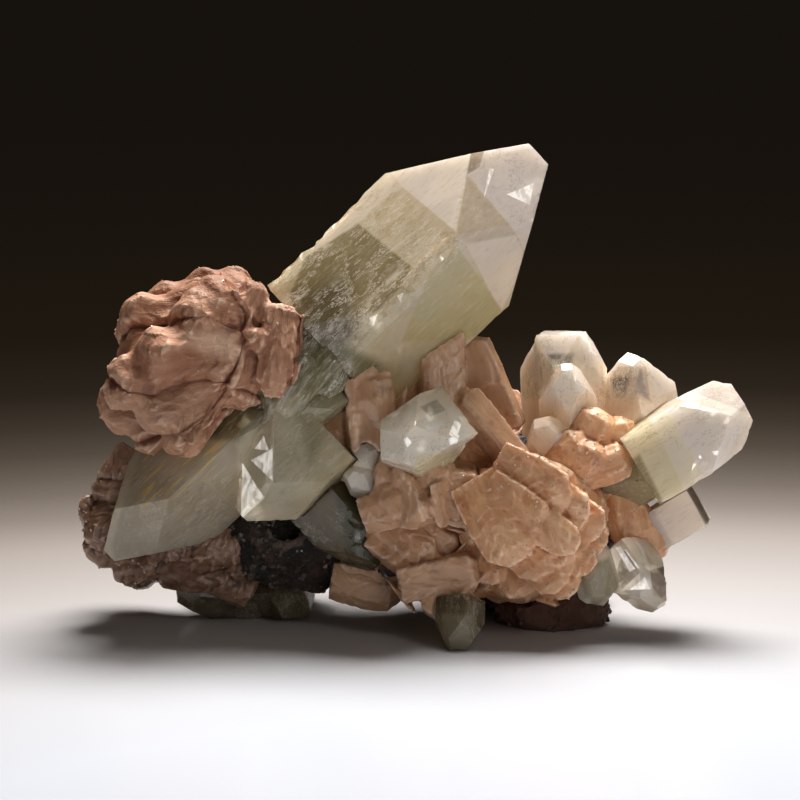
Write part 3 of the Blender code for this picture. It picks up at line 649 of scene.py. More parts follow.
def stilbite(name, pale, deep, rust_and_crease_shade, ridge_highlight, roughness=0.38, fineness=1.0, relief=0.12, coat=0.2,
             glow=0.0, zones=()):
    material, tree, shader, place = new_material(name)
    given = {"Strand": attribute(tree, "strand"), "Place": place, "Fineness": fineness}
    marks = placed_group(tree, strands, given)
    hollow = attribute(tree, "relief", "Fac")
    patches = between(tree, mottle(tree, place, 0.13, 2), 0.38, 0.64)
    tint = math_of(tree, "MULTIPLY_ADD", marks["Tint"], 0.55, math_of(tree, "MULTIPLY", patches, 0.45))
    rust = math_of(tree, "MULTIPLY", between(tree, mottle(tree, place, 0.22, 3), 0.56, 0.68), 0.45)
    dust = placed_group(tree, specks, {"Place": place, "Spread": 0.8, "Amount": 0.1})["Mask"]
    color = blended(tree, tint, deep, pale)
    # brown red in the creases, partly painted shade, and the same colour in the rusty patches
    color = blended(tree, between(tree, hollow, -0.1, -0.9, 0.0, 0.85), color, rust_and_crease_shade)
    color = blended(tree, rust, color, rust_and_crease_shade)
    # painted highlight on raised plate edges
    color = blended(tree, between(tree, hollow, 0.15, 0.9, 0.0, 0.75), color, ridge_highlight)
    color = painted(tree, place, color, zones)
    color = blended(tree, math_of(tree, "MULTIPLY", dust, 0.7), color, STRAND_DUST)
    gloss = between(tree, marks["Relief"], 0.6, 1.3, roughness * 1.35, roughness * 0.6)
    inputs = {"Strength": 0.7, "Distance": relief * MM, "Height": marks["Relief"]}
    tree.links.new(color, shader.inputs["Base Color"])
    tree.links.new(gloss, shader.inputs["Roughness"])
    tree.links.new(put(tree, "ShaderNodeBump", None, inputs).outputs[0], shader.inputs["Normal"])
    shader.inputs["IOR"].default_value = 1.5
    shader.inputs["Coat Weight"].default_value = coat
    shader.inputs["Coat Roughness"].default_value = 0.25
    shader.inputs["Subsurface Weight"].default_value = glow
    shader.inputs["Subsurface Radius"].default_value = (1.0, 0.55, 0.35)
    shader.inputs["Subsurface Scale"].default_value = 2.4 * MM
    return material


print("stilbite helper ready")

# %% Make the stilbite finishes
# on the ball: a darker, rust red top that is partly painted shade, painted shade in the seam between its
# lobes, a painted highlight, and a darker lower lobe
BALL_ZONES = [
    ([(-49.4, 17.6), (-46.7, 22.5), (-37.7, 26.9), (-27.8, 25.5), (-20.7, 19.8), (-22.5, 16.5),
      (-31.4, 16.9), (-37.7, 18.0), (-44.9, 17.1)], 4, 1.5, (0.27, 0.11, 0.055, 1), 0.8),
    ([(-50.7, 0.0), (-43.1, 7.2), (-35.9, 9.9), (-30.9, 5.4), (-35.9, 3.6), (-43.1, 1.4)],
     4, 1.5, (0.24, 0.09, 0.045, 1), 0.5),
    ([(-38.6, 11.7), (-31.4, 12.6), (-28.2, 8.6), (-28.7, 6.8), (-35.9, 9.0)],
     8, 1.6, (0.98, 0.70, 0.50, 1), 0.45),
    ([(-53.0, 0.0), (-44.9, 1.8), (-33.2, 2.7), (-35.9, -7.2), (-44.9, -9.0), (-53.0, -4.5)],
     6, 2.0, (0.4, 0.235, 0.15, 1), 0.5),
]
# on the fan: a painted shadow at its top left, and a darker patch lower down
FAN_ZONES = [
    ([(14.0, -9.9), (21.6, -9.0), (22.5, -14.4), (18.9, -18.0), (14.4, -16.2)],
     14, 2.0, (0.4, 0.17, 0.07, 1), 0.55),
    ([(18.9, -28.7), (28.7, -31.4), (30.5, -37.7), (21.6, -36.8)], 12, 2.0, (0.52, 0.28, 0.15, 1), 0.4),
]
bright = stilbite("stilbite_bright", (0.82, 0.49, 0.28, 1), (0.58, 0.27, 0.12, 1), (0.34, 0.12, 0.05, 1),
                  (0.96, 0.70, 0.49, 1), relief=0.22, coat=0.12, glow=0.5, zones=FAN_ZONES)
brown = stilbite("stilbite_brown", (0.56, 0.30, 0.18, 1), (0.35, 0.15, 0.08, 1), (0.16, 0.045, 0.02, 1),
                 (0.82, 0.57, 0.41, 1), roughness=0.62, fineness=1.4, relief=0.4, coat=0.04,
                 zones=BALL_ZONES)
satin = stilbite("stilbite_satin", (0.64, 0.39, 0.235, 1), (0.48, 0.255, 0.14, 1), (0.20, 0.07, 0.035, 1),
                 (0.80, 0.60, 0.45, 1), roughness=0.3, relief=0.04)
# a darker copy with painted shade, for the sheaves low at the left
shaded = stilbite("stilbite_shaded", (0.34, 0.20, 0.13, 1), (0.13, 0.06, 0.032, 1),
                  (0.05, 0.018, 0.01, 1), (0.48, 0.30, 0.21, 1))
print("stilbite finishes:", [m.name for m in (bright, brown, satin, shaded)])

# %% [markdown]
# ## Basalt and the small grains
#
# Basalt is dark and rough, rusty in places and at its foot, with fine sparkling points and deep pits. The
# grains that sit on the stilbite are clear and sugary, and those on the basalt are a dark crust.

# %% Make the basalt finish
basalt, tree, shader, place = new_material("basalt")
FOOT = [(14, -33), (42, -33), (42, -46), (14, -46)]
rust = between(tree, mottle(tree, place, 0.12, 4), 0.45, 0.7)
raised = between(tree, attribute(tree, "relief", "Fac"), 0.2, 1.2)
glitter = placed_group(tree, specks, {"Place": place, "Spread": 1.6, "Amount": 0.25})["Mask"]
color = blended(tree, rust, (0.012, 0.009, 0.007, 1), (0.085, 0.04, 0.025, 1))
color = blended(tree, raised, color, (0.11, 0.075, 0.055, 1))
color = painted(tree, place, color, [(FOOT, 0, 3, (0.12, 0.05, 0.032, 1), 0.75)])
color = blended(tree, math_of(tree, "MULTIPLY", glitter, 0.5), color, (0.4, 0.33, 0.28, 1))
pits = {"Strength": 0.9, "Distance": 0.3 * MM, "Height": mottle(tree, place, 1.6, 5)}
tree.links.new(color, shader.inputs["Base Color"])
tree.links.new(between(tree, glitter, 0.0, 1.0, 0.75, 0.2), shader.inputs["Roughness"])
tree.links.new(put(tree, "ShaderNodeBump", None, pits).outputs[0], shader.inputs["Normal"])
print("finish:", basalt.name)

# %% Make the grain finishes
def grain_finish(name, color, glass, roughness):
    material, tree, shader, place = new_material(name)
    tone = between(tree, mottle(tree, place, 1.1, 2), 0.3, 0.7)
    darker = tuple(c * 0.7 for c in color[:3]) + (1,)
    tree.links.new(blended(tree, tone, color, darker), shader.inputs["Base Color"])
    tree.links.new(between(tree, tone, 0.0, 1.0, roughness, roughness * 2), shader.inputs["Roughness"])
    shader.inputs["Transmission Weight"].default_value = glass
    shader.inputs["IOR"].default_value = 1.53
    return material


sugar = grain_finish("sugar_grains", (0.95, 0.70, 0.52, 1), 0.3, 0.12)
crust = grain_finish("dark_crust", (0.10, 0.07, 0.055, 1), 0.0, 0.2)
print("finishes:", sugar.name, crust.name)

# %% [markdown]
# ## The floor and the light
#
# The specimen stands on a pale floor with a painted pool of light: bright around the specimen, it sinks into
# the dark behind. A spotlight could do that, but a colour that fades with the distance from a point in front
# doesn't depend on the lights. The light is soft: a large panel above and a little behind shines through the
# crystals, a weak tall one stands at the right front, and a narrow card in front draws thin reflections. The
# world is nearly dark.

# %% Make the floor
# a painted pool of light on the floor: its middle, where it starts and stops fading, and its levels
POOL_MIDDLE = (22 * MM, -170 * MM, 0)
FLOOR_RADIUS = 6
FADE_FROM, FADE_TO = 100, 500  # millimetres from the middle
POOL_LEVELS = ((0.0, 0.66), (0.09, 0.62), (0.15, 0.57), (0.26, 0.48), (0.37, 0.34), (0.44, 0.2), (0.5, 0.125),
          (0.55, 0.085), (0.61, 0.05), (0.69, 0.028), (0.8, 0.012), (1.0, 0.006))
floor_mesh = bmesh.new()
bmesh.ops.create_circle(floor_mesh, cap_ends=True, radius=FLOOR_RADIUS, segments=96)
floor = bpy.data.objects.new("floor", bpy.data.meshes.new("floor"))
floor_mesh.to_mesh(floor.data)
floor_mesh.free()
bpy.context.scene.collection.objects.link(floor)
floor_finish, tree, shader, place = new_material("floor")
middle = [v / MM for v in POOL_MIDDLE]
reach = put(tree, "ShaderNodeVectorMath", {"operation": "DISTANCE"}, {0: place, 1: middle}).outputs["Value"]
painted_pool = put(tree, "ShaderNodeValToRGB", None, {0: between(tree, reach, FADE_FROM, FADE_TO, smooth=False)})
while len(painted_pool.color_ramp.elements) < len(POOL_LEVELS):
    painted_pool.color_ramp.elements.new(0.5)
# the painted pool is a little bluer near its middle, against the warm lamp, and warmer far out
for element, (position, level) in zip(painted_pool.color_ramp.elements, POOL_LEVELS):
    element.position = position
    element.color = (level, level * (1.05 - 0.4 * position), level * (1.16 - 0.85 * position), 1)
tree.links.new(painted_pool.outputs[0], shader.inputs["Base Color"])
shader.inputs["Roughness"].default_value = 0.22
shader.inputs["Specular IOR Level"].default_value = 0.25
floor.data.materials.append(floor_finish)
print("floor faces:", len(floor.data.polygons))

# %% Make the lights
def panel(name, place, aim, size, power, color=(1, 0.96, 0.9)):
    lamp = bpy.data.objects.new(name, bpy.data.lights.new(name, "AREA"))
    bpy.context.scene.collection.objects.link(lamp)
    lamp.data.shape = "RECTANGLE"
    lamp.data.size, lamp.data.size_y = size
    lamp.data.energy = power
    lamp.data.color = color
    lamp.location = place
    lamp.rotation_euler = (Vector(aim) - lamp.location).to_track_quat("-Z", "Y").to_euler()
    lamp.visible_camera = False


# place, aim and size in metres, power in watts
panel("light_above", (0.06, 0.17, 0.5), (0.0, 0.0, 0.03), (0.3, 0.24), 6.7, (1, 0.965, 0.92))
panel("light_right", (0.42, -0.5, 0.42), (0.0, 0.0, 0.04), (0.1, 0.3), 0.5)
panel("card_front", (0.2, -0.46, 0.07), (0.0, 0.0, 0.05), (0.02, 0.2), 0.2)
print("lights:", len(bpy.data.lights))

# %% Make the dim world
world = bpy.data.worlds.new("studio")
bpy.context.scene.world = world
world.use_nodes = True
tree = world.node_tree
direction = put(tree, "ShaderNodeTexCoord").outputs["Generated"]
height = put(tree, "ShaderNodeSeparateXYZ", None, {0: direction}).outputs[2]
sky = blended(tree, between(tree, height, 0.15, 0.9), (0.019, 0.014, 0.0095, 1), (0.022, 0.02, 0.018, 1))
tree.links.new(sky, tree.nodes["Background"].inputs["Color"])
bpy.context.scene.view_settings.view_transform = "Standard"
print("view transform:", bpy.context.scene.view_settings.view_transform)

# %% [markdown]
# ## From loose solid to clean mesh
#
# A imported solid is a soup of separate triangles. A copy with its doubles merged can be edited. Flat regions
# are joined to whole faces first, so that each crystal face is one polygon with sharp edges around it.

# %% Helpers for meshes
SAME_POINT, TINY_EDGE = 0.003 * MM, 0.002 * MM


def merged_copy(node):
    bm = bmesh.new()
    bm.from_mesh(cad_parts[node].data)
    bmesh.ops.remove_doubles(bm, verts=bm.verts, dist=SAME_POINT)
    bmesh.ops.dissolve_degenerate(bm, edges=bm.edges, dist=TINY_EDGE)
    return bm


def mesh_of(bm, name):
    mesh = bpy.data.meshes.new(name)
    bm.to_mesh(mesh)
    bm.free()
    return mesh


def object_of(name, mesh, *materials):
    obj = bpy.data.objects.new(name, mesh)
    bpy.context.scene.collection.objects.link(obj)
    for material in materials:
        mesh.materials.append(material)
    return obj


def applied(obj):
    """The object's mesh with its modifiers worked in."""
    graph = bpy.context.evaluated_depsgraph_get()
    mesh = bpy.data.meshes.new_from_object(obj.evaluated_get(graph))
    obj.modifiers.clear()
    return mesh


print("mesh helpers ready")

# %% Helpers for the points of a mesh
def points_of(mesh, kind="co"):
    values = np.empty(len(mesh.vertices) * 3, np.float32)
    mesh.vertices.foreach_get(kind, values)
    return values.reshape(-1, 3).astype(float)


def normals_of(mesh):
    return points_of(mesh, "normal")


def set_points(mesh, points):
    mesh.vertices.foreach_set("co", points.astype(np.float32).ravel())
    mesh.update()


def store(mesh, name, values):
    """Keeps a number or a vector for each vertex, for the materials and the node trees."""
    kind, key = ("FLOAT_VECTOR", "vector") if values.ndim > 1 else ("FLOAT", "value")
    layer = mesh.attributes.get(name) or mesh.attributes.new(name, kind, "POINT")
    layer.data.foreach_set(key, values.astype(np.float32).ravel())


def evened(mesh, points, rounds):
    """The points after each has moved half way to the mean of its neighbours, some times over."""
    edges = np.empty(len(mesh.edges) * 2, np.int32)
    mesh.edges.foreach_get("vertices", edges)
    a, b = edges[::2], edges[1::2]
    count = np.bincount(edges, minlength=len(points))[:, None]
    for _ in range(rounds):
        total = np.stack([
            np.bincount(a, points[b, i], len(points)) + np.bincount(b, points[a, i], len(points))
            for i in range(3)
        ], axis=1)
        points = (points + total / np.maximum(count, 1)) / 2
    return points


def noise_at(points, size, shift=0.0, octaves=3):
    """Smooth noise from about -1 to 1 whose features are this many metres across."""
    offset = Vector((shift, shift * 0.7, -shift))
    return np.array([noise.fractal(Vector(p) / size + offset, 1.0, 2.0, octaves) for p in points])


print("point helpers ready")

# %% [markdown]
# ## Growing plates and grains with Geometry Nodes
#
# A sheaf is hundreds of thin plates, and a crust is hundreds of grains, so both are instances of one small
# mesh, scattered on a surface by a node tree. One tree lays plates along the strands like shingles, each tip
# raised a little. The other drops grains at any angle. The sizes, the density and the seed are named inputs.

# %% Helpers for Geometry Nodes
def new_scatter(name, inputs):
    tree = bpy.data.node_groups.new(name, "GeometryNodeTree")
    tree.interface.new_socket("Geometry", in_out="INPUT", socket_type="NodeSocketGeometry")
    for label, kind, value in inputs:
        socket = tree.interface.new_socket(label, in_out="INPUT", socket_type="NodeSocket" + kind)
        if value is not None:
            socket.default_value = value
    tree.interface.new_socket("Geometry", in_out="OUTPUT", socket_type="NodeSocketGeometry")
    return tree, put(tree, "NodeGroupInput").outputs, put(tree, "NodeGroupOutput").inputs


def grown(name, carrier, tree, values):
    """The plain mesh that a node tree grows on a carrier mesh."""
    obj = bpy.data.objects.new(name, carrier)
    bpy.context.scene.collection.objects.link(obj)
    modifier = obj.modifiers.new(name, "NODES")
    modifier.node_group = tree
    for item in tree.interface.items_tree:
        if item.in_out == "INPUT" and item.name in values:
            modifier[item.identifier] = values[item.name]
    mesh = applied(obj)
    bpy.data.objects.remove(obj)
    return mesh


def random_of(tree, low, high, seed, salt, kind="FLOAT"):
    first, second = (2, 3) if kind == "FLOAT" else (0, 1)
    seed = math_of(tree, "ADD", seed, salt)
    node = put(tree, "FunctionNodeRandomValue", {"data_type": kind}, {first: low, second: high, "Seed": seed})
    return node.outputs[1 if kind == "FLOAT" else 0]


def finished_instances(tree, given, out, points, rotation, scale):
    shape = put(tree, "GeometryNodeObjectInfo", None, {"Object": given["Shape"]}).outputs["Geometry"]
    laid = put(tree, "GeometryNodeInstanceOnPoints", None,
               {"Points": points, "Instance": shape, "Rotation": rotation, "Scale": scale})
    real = put(tree, "GeometryNodeRealizeInstances", None, {0: laid.outputs[0]})
    dressed = put(tree, "GeometryNodeSetMaterial", None, {0: real.outputs[0], "Material": given["Finish"]})
    tree.links.new(dressed.outputs[0], out[0])


print("scatter helpers ready")

# %% Tree: plates along the strands
SMALLEST, LARGEST = 0.6, 1.25  # times a plate's given size
plates_tree, given, out = new_scatter("plates_along_strands", [
    ("Shape", "Object", None), ("Finish", "Material", None), ("Density", "Float", 60000.0),
    ("Spacing", "Float", 0.0015), ("Long", "Float", 0.006), ("Wide", "Float", 0.004),
    ("Thick", "Float", 0.001), ("Rise", "Float", 0.3), ("Turn", "Float", 0.2), ("Seed", "Int", 1),
])
spread = put(plates_tree, "GeometryNodeDistributePointsOnFaces", {"distribute_method": "POISSON"},
             {"Mesh": given["Geometry"], "Distance Min": given["Spacing"], "Density Max": given["Density"],
              "Seed": given["Seed"]})
way = put(plates_tree, "GeometryNodeInputNamedAttribute", {"data_type": "FLOAT_VECTOR"}, {"Name": "way"})
raised = put(plates_tree, "ShaderNodeVectorMath", {"operation": "SCALE"},
             {0: spread.outputs["Normal"], "Scale": given["Rise"]}).outputs[0]
raised = added(plates_tree, way.outputs[0], raised)
aimed = put(plates_tree, "FunctionNodeAxesToRotation", {"primary_axis": "Z", "secondary_axis": "Y"},
            {"Primary Axis": raised, "Secondary Axis": spread.outputs["Normal"]}).outputs[0]
widest = math_of(plates_tree, "MULTIPLY", given["Turn"], -1.0)
swing = put(plates_tree, "ShaderNodeCombineXYZ", None, {
    axis: random_of(plates_tree, widest, given["Turn"], given["Seed"], salt)
    for axis, salt in ((0, 11), (1, 12), (2, 13))}).outputs[0]
swung = put(plates_tree, "FunctionNodeEulerToRotation", None, {0: swing}).outputs[0]
turned = put(plates_tree, "FunctionNodeRotateRotation", {"rotation_space": "LOCAL"},
             {0: aimed, 1: swung}).outputs[0]
sizes = [math_of(plates_tree, "MULTIPLY", given[label],
                 random_of(plates_tree, SMALLEST, LARGEST, given["Seed"], salt))
         for label, salt in (("Wide", 21), ("Thick", 22), ("Long", 23))]
scale = put(plates_tree, "ShaderNodeCombineXYZ", None, dict(enumerate(sizes))).outputs[0]
finished_instances(plates_tree, given, out, spread.outputs["Points"], turned, scale)
print("tree:", plates_tree.name)

# %% Tree: grains at any angle
FULL_TURN = (6.28, 6.28, 6.28)
grains_tree, given, out = new_scatter("grains_on_surface", [
    ("Shape", "Object", None), ("Finish", "Material", None), ("Density", "Float", 200000.0),
    ("Small", "Float", 0.0002), ("Large", "Float", 0.0005), ("Least", "Float", -9.0),
    ("Patch", "Float", 150.0), ("Cover", "Float", 0.5), ("Seed", "Int", 1),
])
edge = put(grains_tree, "GeometryNodeInputNamedAttribute", {"data_type": "FLOAT"}, {"Name": "relief"})
sharp = put(grains_tree, "FunctionNodeCompare", {"data_type": "FLOAT", "operation": "GREATER_THAN"},
            {0: edge.outputs[0], 1: given["Least"]}).outputs[0]
patchy = put(grains_tree, "ShaderNodeTexNoise", None, {"Scale": given["Patch"], "Detail": 2.0}).outputs[0]
patchy = put(grains_tree, "FunctionNodeCompare", {"data_type": "FLOAT", "operation": "LESS_THAN"},
             {0: patchy, 1: given["Cover"]}).outputs[0]
chosen = put(grains_tree, "FunctionNodeBooleanMath", {"operation": "AND"}, {0: sharp, 1: patchy}).outputs[0]
spread = put(grains_tree, "GeometryNodeDistributePointsOnFaces", None,
             {"Mesh": given["Geometry"], "Selection": chosen, "Density": given["Density"],
              "Seed": given["Seed"]})
any_turn = random_of(grains_tree, (0, 0, 0), FULL_TURN, given["Seed"], 31, "FLOAT_VECTOR")
scale = random_of(grains_tree, given["Small"], given["Large"], given["Seed"], 32)
finished_instances(grains_tree, given, out, spread.outputs["Points"],
                   put(grains_tree, "FunctionNodeEulerToRotation", None, {0: any_turn}).outputs[0], scale)
print("tree:", grains_tree.name)

# %% [markdown]
# The shapes that are scattered are small. A plate is a thin tablet with a blunt point, as long, wide and
# thick as one unit. A grain is a cube with one corner cut off.

# %% Make the plate
RING = ((1, 0.5), (0.4, 1), (-0.4, 1), (-1, 0.5), (-1, -0.5), (-0.4, -1), (0.4, -1), (1, -0.5))
PLATE_RINGS = ((-0.5, 0.42, 0.3), (0.0, 0.5, 0.5), (0.34, 0.47, 0.45), (0.5, 0.2, 0.15))
bm = bmesh.new()
loops = [[bm.verts.new((x * half_width, y * half_thickness, height)) for x, y in RING]
         for height, half_width, half_thickness in PLATE_RINGS]
for low, high in zip(loops, loops[1:]):
    for i in range(len(RING)):
        after = (i + 1) % len(RING)
        bm.faces.new((low[i], low[after], high[after], high[i]))
bm.faces.new(loops[0][::-1])
bm.faces.new(loops[-1])
bmesh.ops.recalc_face_normals(bm, faces=bm.faces)
plate = bpy.data.objects.new("plate", mesh_of(bm, "plate"))
print("plate faces:", len(plate.data.polygons))

# %% Make the grain
cut_cube = bmesh.new()
bmesh.ops.create_cube(cut_cube, size=1)
cut = bmesh.ops.bisect_plane(cut_cube, geom=cut_cube.verts[:] + cut_cube.edges[:] + cut_cube.faces[:],
                             plane_co=(0.25, 0.25, 0.25), plane_no=(1, 1, 1), clear_outer=True)
bmesh.ops.edgeloop_fill(cut_cube, edges=[e for e in cut["geom_cut"] if isinstance(e, bmesh.types.BMEdge)])
grain_shape = bpy.data.objects.new("grain", mesh_of(cut_cube, "grain"))
print("grain faces:", len(grain_shape.data.polygons))

# %% [markdown]
# ## The crystals
#
# A real crystal face is flat but not perfect: it waves a little, and the edges are chipped. To have points to
# move, each solid is sliced in its crystal's own directions about every millimetre, which keeps the edges
# sharp. Points near an edge then sink in where a noise says so, and the rest of a face moves by hundredths of
# a millimetre. Each vertex also keeps its place in the crystal's own coordinates, for the growth lines.
#
# A row for each crystal says where its tip is, where it points and how large it is. A few edges in the photo
# are broken much more than the others, and those have a list of their own.

# %% Say which crystals each solid holds
# tip across, up, toward; heading, lean, roll in degrees; side, length
CRYSTALS = {
    "main_apophyllite": [
        (24.9, 44.2, 0, 43, 0, 45, 23.1, 52), (-29, -20.3, 2.5, 223, 0, 8, 16, 22),
        (-52.3, -28, -3.5, 223, 0, 45, 15.4, 54), (-18.6, -3.6, 8.2, 215, 14, 14, 6.4, 9)],
    "center_apophyllite": [(-1.4, -8.4, 18, 200, 50, 22, 11, 15), (10, -4.6, 9, 40, 30, 20, 8.6, 11)],
    "upper_right_apophyllite": [
        (29.2, 12.2, -5, 92, 6, 32, 11.4, 19), (30, 6, 4, 93, 36, 45, 7.4, 12),
        (41.4, 7.4, -3, 96, 34, 6, 16, 14), (25.5, -4, 5, 110, 34, 30, 7.2, 11)],
    "right_apophyllite": [(61.9, -0.9, 1, 31, 0, 6, 13.4, 22.4), (36.6, -16.4, -2, 211, -8, 12, 11.5, 19)],
    "right_block_apophyllite": [(53.8, -18.7, -3, 31, 12, 4, 7.4, 14)],
    "lower_right_apophyllite": [
        (46.8, -37.2, 3, 306, 16, 30, 8.2, 13), (35.8, -36, 6.5, 276, 34, 20, 7.4, 9)],
    "bottom_apophyllite": [(10.4, -45.2, 11.5, 266, 16, 36, 6.4, 9.5)],
    "lower_left_apophyllite": [
        (-40.2, -35.2, -13, 184, 0, 40, 7.6, 18), (-20, -39.4, -12, 271, 4, 20, 8.6, 16),
        (-28.5, -39.6, -14, 250, -4, 30, 6.6, 12)],
    "inner_apophyllite": [(-3.2, -29.2, 1, 312, 8, 28, 10.6, 22)],
    "small_apophyllite": [(-9.4, -13, 8.5, 150, 44, 30, 5, 9), (-5.4, -8.4, 8, 60, 40, 16, 4.6, 8)],
    "back_apophyllite": [(-16, 2, -31, 150, -40, 30, 11, 20), (-6, 1, -33, 96, -50, 10, 8, 16)],
}
CRYSTAL_FINISH = {
    "main_apophyllite": milky, "center_apophyllite": clear, "upper_right_apophyllite": white,
    "right_apophyllite": banded, "right_block_apophyllite": blunt, "lower_right_apophyllite": glassy,
    "bottom_apophyllite": shade_darkened, "lower_left_apophyllite": shade_darkened, "inner_apophyllite": shade_darkened,
    "small_apophyllite": clear, "back_apophyllite": white,
}
print("crystals:", sum(map(len, CRYSTALS.values())), "in", len(CRYSTALS), "solids")

# %% Say which edges are broken more than the others
# from, to, how wide and how deep in millimetres
BROKEN = {
    "main_apophyllite": [
        ((9, 27, 16), (-11, 7, 15), 3.2, 1.5), ((-24, 22, 0), (-9, 36, 0), 2.6, 1.3),
        ((-14, 28, 6), (-22, 18, 8), 2.0, 0.8), ((-6, 8, 6), (-14, 2, 6), 4.0, 1.2)],
    "upper_right_apophyllite": [
        ((28, 13, -3), (36, 10, -3), 1.8, 0.6), ((32, 12, -3), (34.5, 5, -2), 2.4, 1.1),
        ((45, 9, -2), (52, 5, 0), 1.8, 0.7), ((24, 11, -4), (22, 5, -3), 1.6, 0.5)],
    "right_apophyllite": [((40, -3, 4), (51, -15, 4), 1.6, 0.6)],
    "center_apophyllite": [((-3, -9, 15), (5, -15, 14), 1.4, 0.4), ((9, -6, 10), (14, -10, 8), 2.0, 0.6)],
}
print("broken edges:", sum(map(len, BROKEN.values())))

# %% Helpers that slice a crystal
SHARP, EDGE_STEP = math.radians(14), 0.4 * MM


def crystal_frames(node):
    return [(np.array(spot(*row[:3])), crystal_axes(*row[3:6]), row[6] * MM, row[7] * MM)
            for row in CRYSTALS[node]]


def sharp_edge_points(bm):
    tree_points = []
    for edge in bm.edges:
        if len(edge.link_faces) == 2 and edge.calc_face_angle(0) > SHARP:
            a, b = edge.verts[0].co, edge.verts[1].co
            steps = max(1, int((b - a).length / EDGE_STEP))
            tree_points += [a.lerp(b, i / steps) for i in range(steps + 1)]
    tree = KDTree(len(tree_points))
    for i, p in enumerate(tree_points):
        tree.insert(p, i)
    tree.balance()
    return tree


def sliced(bm, directions, gap):
    """Cuts the faces across each direction, at gaps that differ a little."""
    rng = np.random.default_rng(7)
    for direction in directions:
        reaches = [v.co.dot(Vector(direction)) for v in bm.verts]
        at = min(reaches) + gap * 0.7
        while at < max(reaches):
            bmesh.ops.bisect_plane(bm, geom=bm.verts[:] + bm.edges[:] + bm.faces[:], dist=1e-7,
                                   plane_co=Vector(direction) * at, plane_no=Vector(direction))
            at += gap * rng.uniform(0.75, 1.25)


print("slicing helpers ready")

# %% Helpers that chip a crystal and mark it
EDGE_WIDTH = 0.7  # how far from an edge its chips reach, in mm
CHIP, WORN, WAVE = 0.42, 0.05, 0.03  # the deepest chip, the wear of every edge, the waves of a face, in mm
CHIP_SIZE, BREAK_SIZE, WAVE_SIZE = 1.1 * MM, 1.5 * MM, 5 * MM
APART = 40  # keeps the growth lines of two crystals in one solid different


def brokenness(points, node):
    """How deep the broken edges go at each point, in millimetres."""
    depth = np.zeros(len(points))
    for start, end, wide, deep in BROKEN.get(node, ()):
        a, b = np.array(spot(*start)), np.array(spot(*end))
        share = np.clip(((points - a) @ (b - a)) / ((b - a) @ (b - a)), 0, 1)
        away = np.linalg.norm(points - a - share[:, None] * (b - a), axis=1) / MM
        depth = np.maximum(depth, deep * np.clip(1 - (away / wide) ** 2, 0, 1))
    return depth


def sunk_by(points, near, node):
    """How far each point sinks, in millimetres, from how near an edge it is and the broken edges."""
    at_edge = np.clip(1 - near / EDGE_WIDTH, 0, 1)
    sunk = CHIP * at_edge * np.clip(noise_at(points, CHIP_SIZE, 3, 3) - 0.12, 0, 1) + WORN * at_edge
    torn = 0.25 + 0.75 * np.clip(noise_at(points, BREAK_SIZE, 9, 4) + 0.35, 0, 1)
    sunk += brokenness(points, node) * torn
    return sunk + WAVE * noise_at(points, WAVE_SIZE, 5, 2) * np.clip(near, 0, 1)


def mark_growth(mesh, points, frames):
    """Stores each point's place in its own crystal's directions, and how far it is from the tip."""
    own = np.stack([np.max([np.abs((points - tip) @ axes[0]) / side, np.abs((points - tip) @ axes[1]) / side,
                            np.abs((points - tip) @ axes[2] + length / 2) / length], axis=0)
                    for tip, axes, side, length in frames]).argmin(axis=0)
    growth, depth = np.zeros_like(points), np.zeros(len(points))
    for i, (tip, axes, side, length) in enumerate(frames):
        mine = own == i
        growth[mine] = (points[mine] - tip) @ axes.T / MM + APART * i
        depth[mine] = np.clip(-((points[mine] - tip) @ axes[2]) / length, 0, 1)
    store(mesh, "growth", growth)
    store(mesh, "depth", depth)


print("chipping helpers ready")

# %% Finish the crystals
FLAT = math.radians(0.6)
GAP, FINE_GAP, LARGE_SIDE = 1.1 * MM, 0.8 * MM, 10 * MM
finished = {}


def finish_crystal(node):
    bm = merged_copy(node)
    bmesh.ops.dissolve_limit(bm, angle_limit=FLAT, verts=bm.verts, edges=bm.edges)
    edges = sharp_edge_points(bm)
    frames = crystal_frames(node)
    tip, axes, side, length = frames[0]
    sliced(bm, axes, GAP if len(frames) > 1 or side > LARGE_SIDE else FINE_GAP)
    bmesh.ops.triangulate(bm, faces=bm.faces)
    bm.normal_update()
    mesh = mesh_of(bm, node + "_crystal")
    points, normals = points_of(mesh), normals_of(mesh)
    near = np.array([edges.find(p)[2] for p in points]) / MM
    set_points(mesh, points - normals * sunk_by(points, near, node)[:, None] * MM)
    mark_growth(mesh, points, frames)
    obj = object_of(node + "_crystal", mesh, CRYSTAL_FINISH[node])
    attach(obj, "root")
    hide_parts(node)
    finished[node] = obj
    return obj


for node in CRYSTALS:
    print(node, len(finish_crystal(node).data.polygons), "triangles")

# %% [markdown]
# ## The stilbite
#
# A sheaf starts at a root and its plates fan out. For each solid the roots and the headings are listed, and
# each vertex follows the nearest one, which gives it a way to grow and strand coordinates for the material.
# The plate tree lays tablets over the solid along that way, and a voxel remesh melts the solid and its plates
# to one closed skin. Fine ledges and fibres are then pressed into that skin.
#
# The plates could carry the whole look, but some are seen one by one, as the stacked slabs of the bright fan
# are. Each of those has a row in a table and is laid on the skin where the viewer sees it.

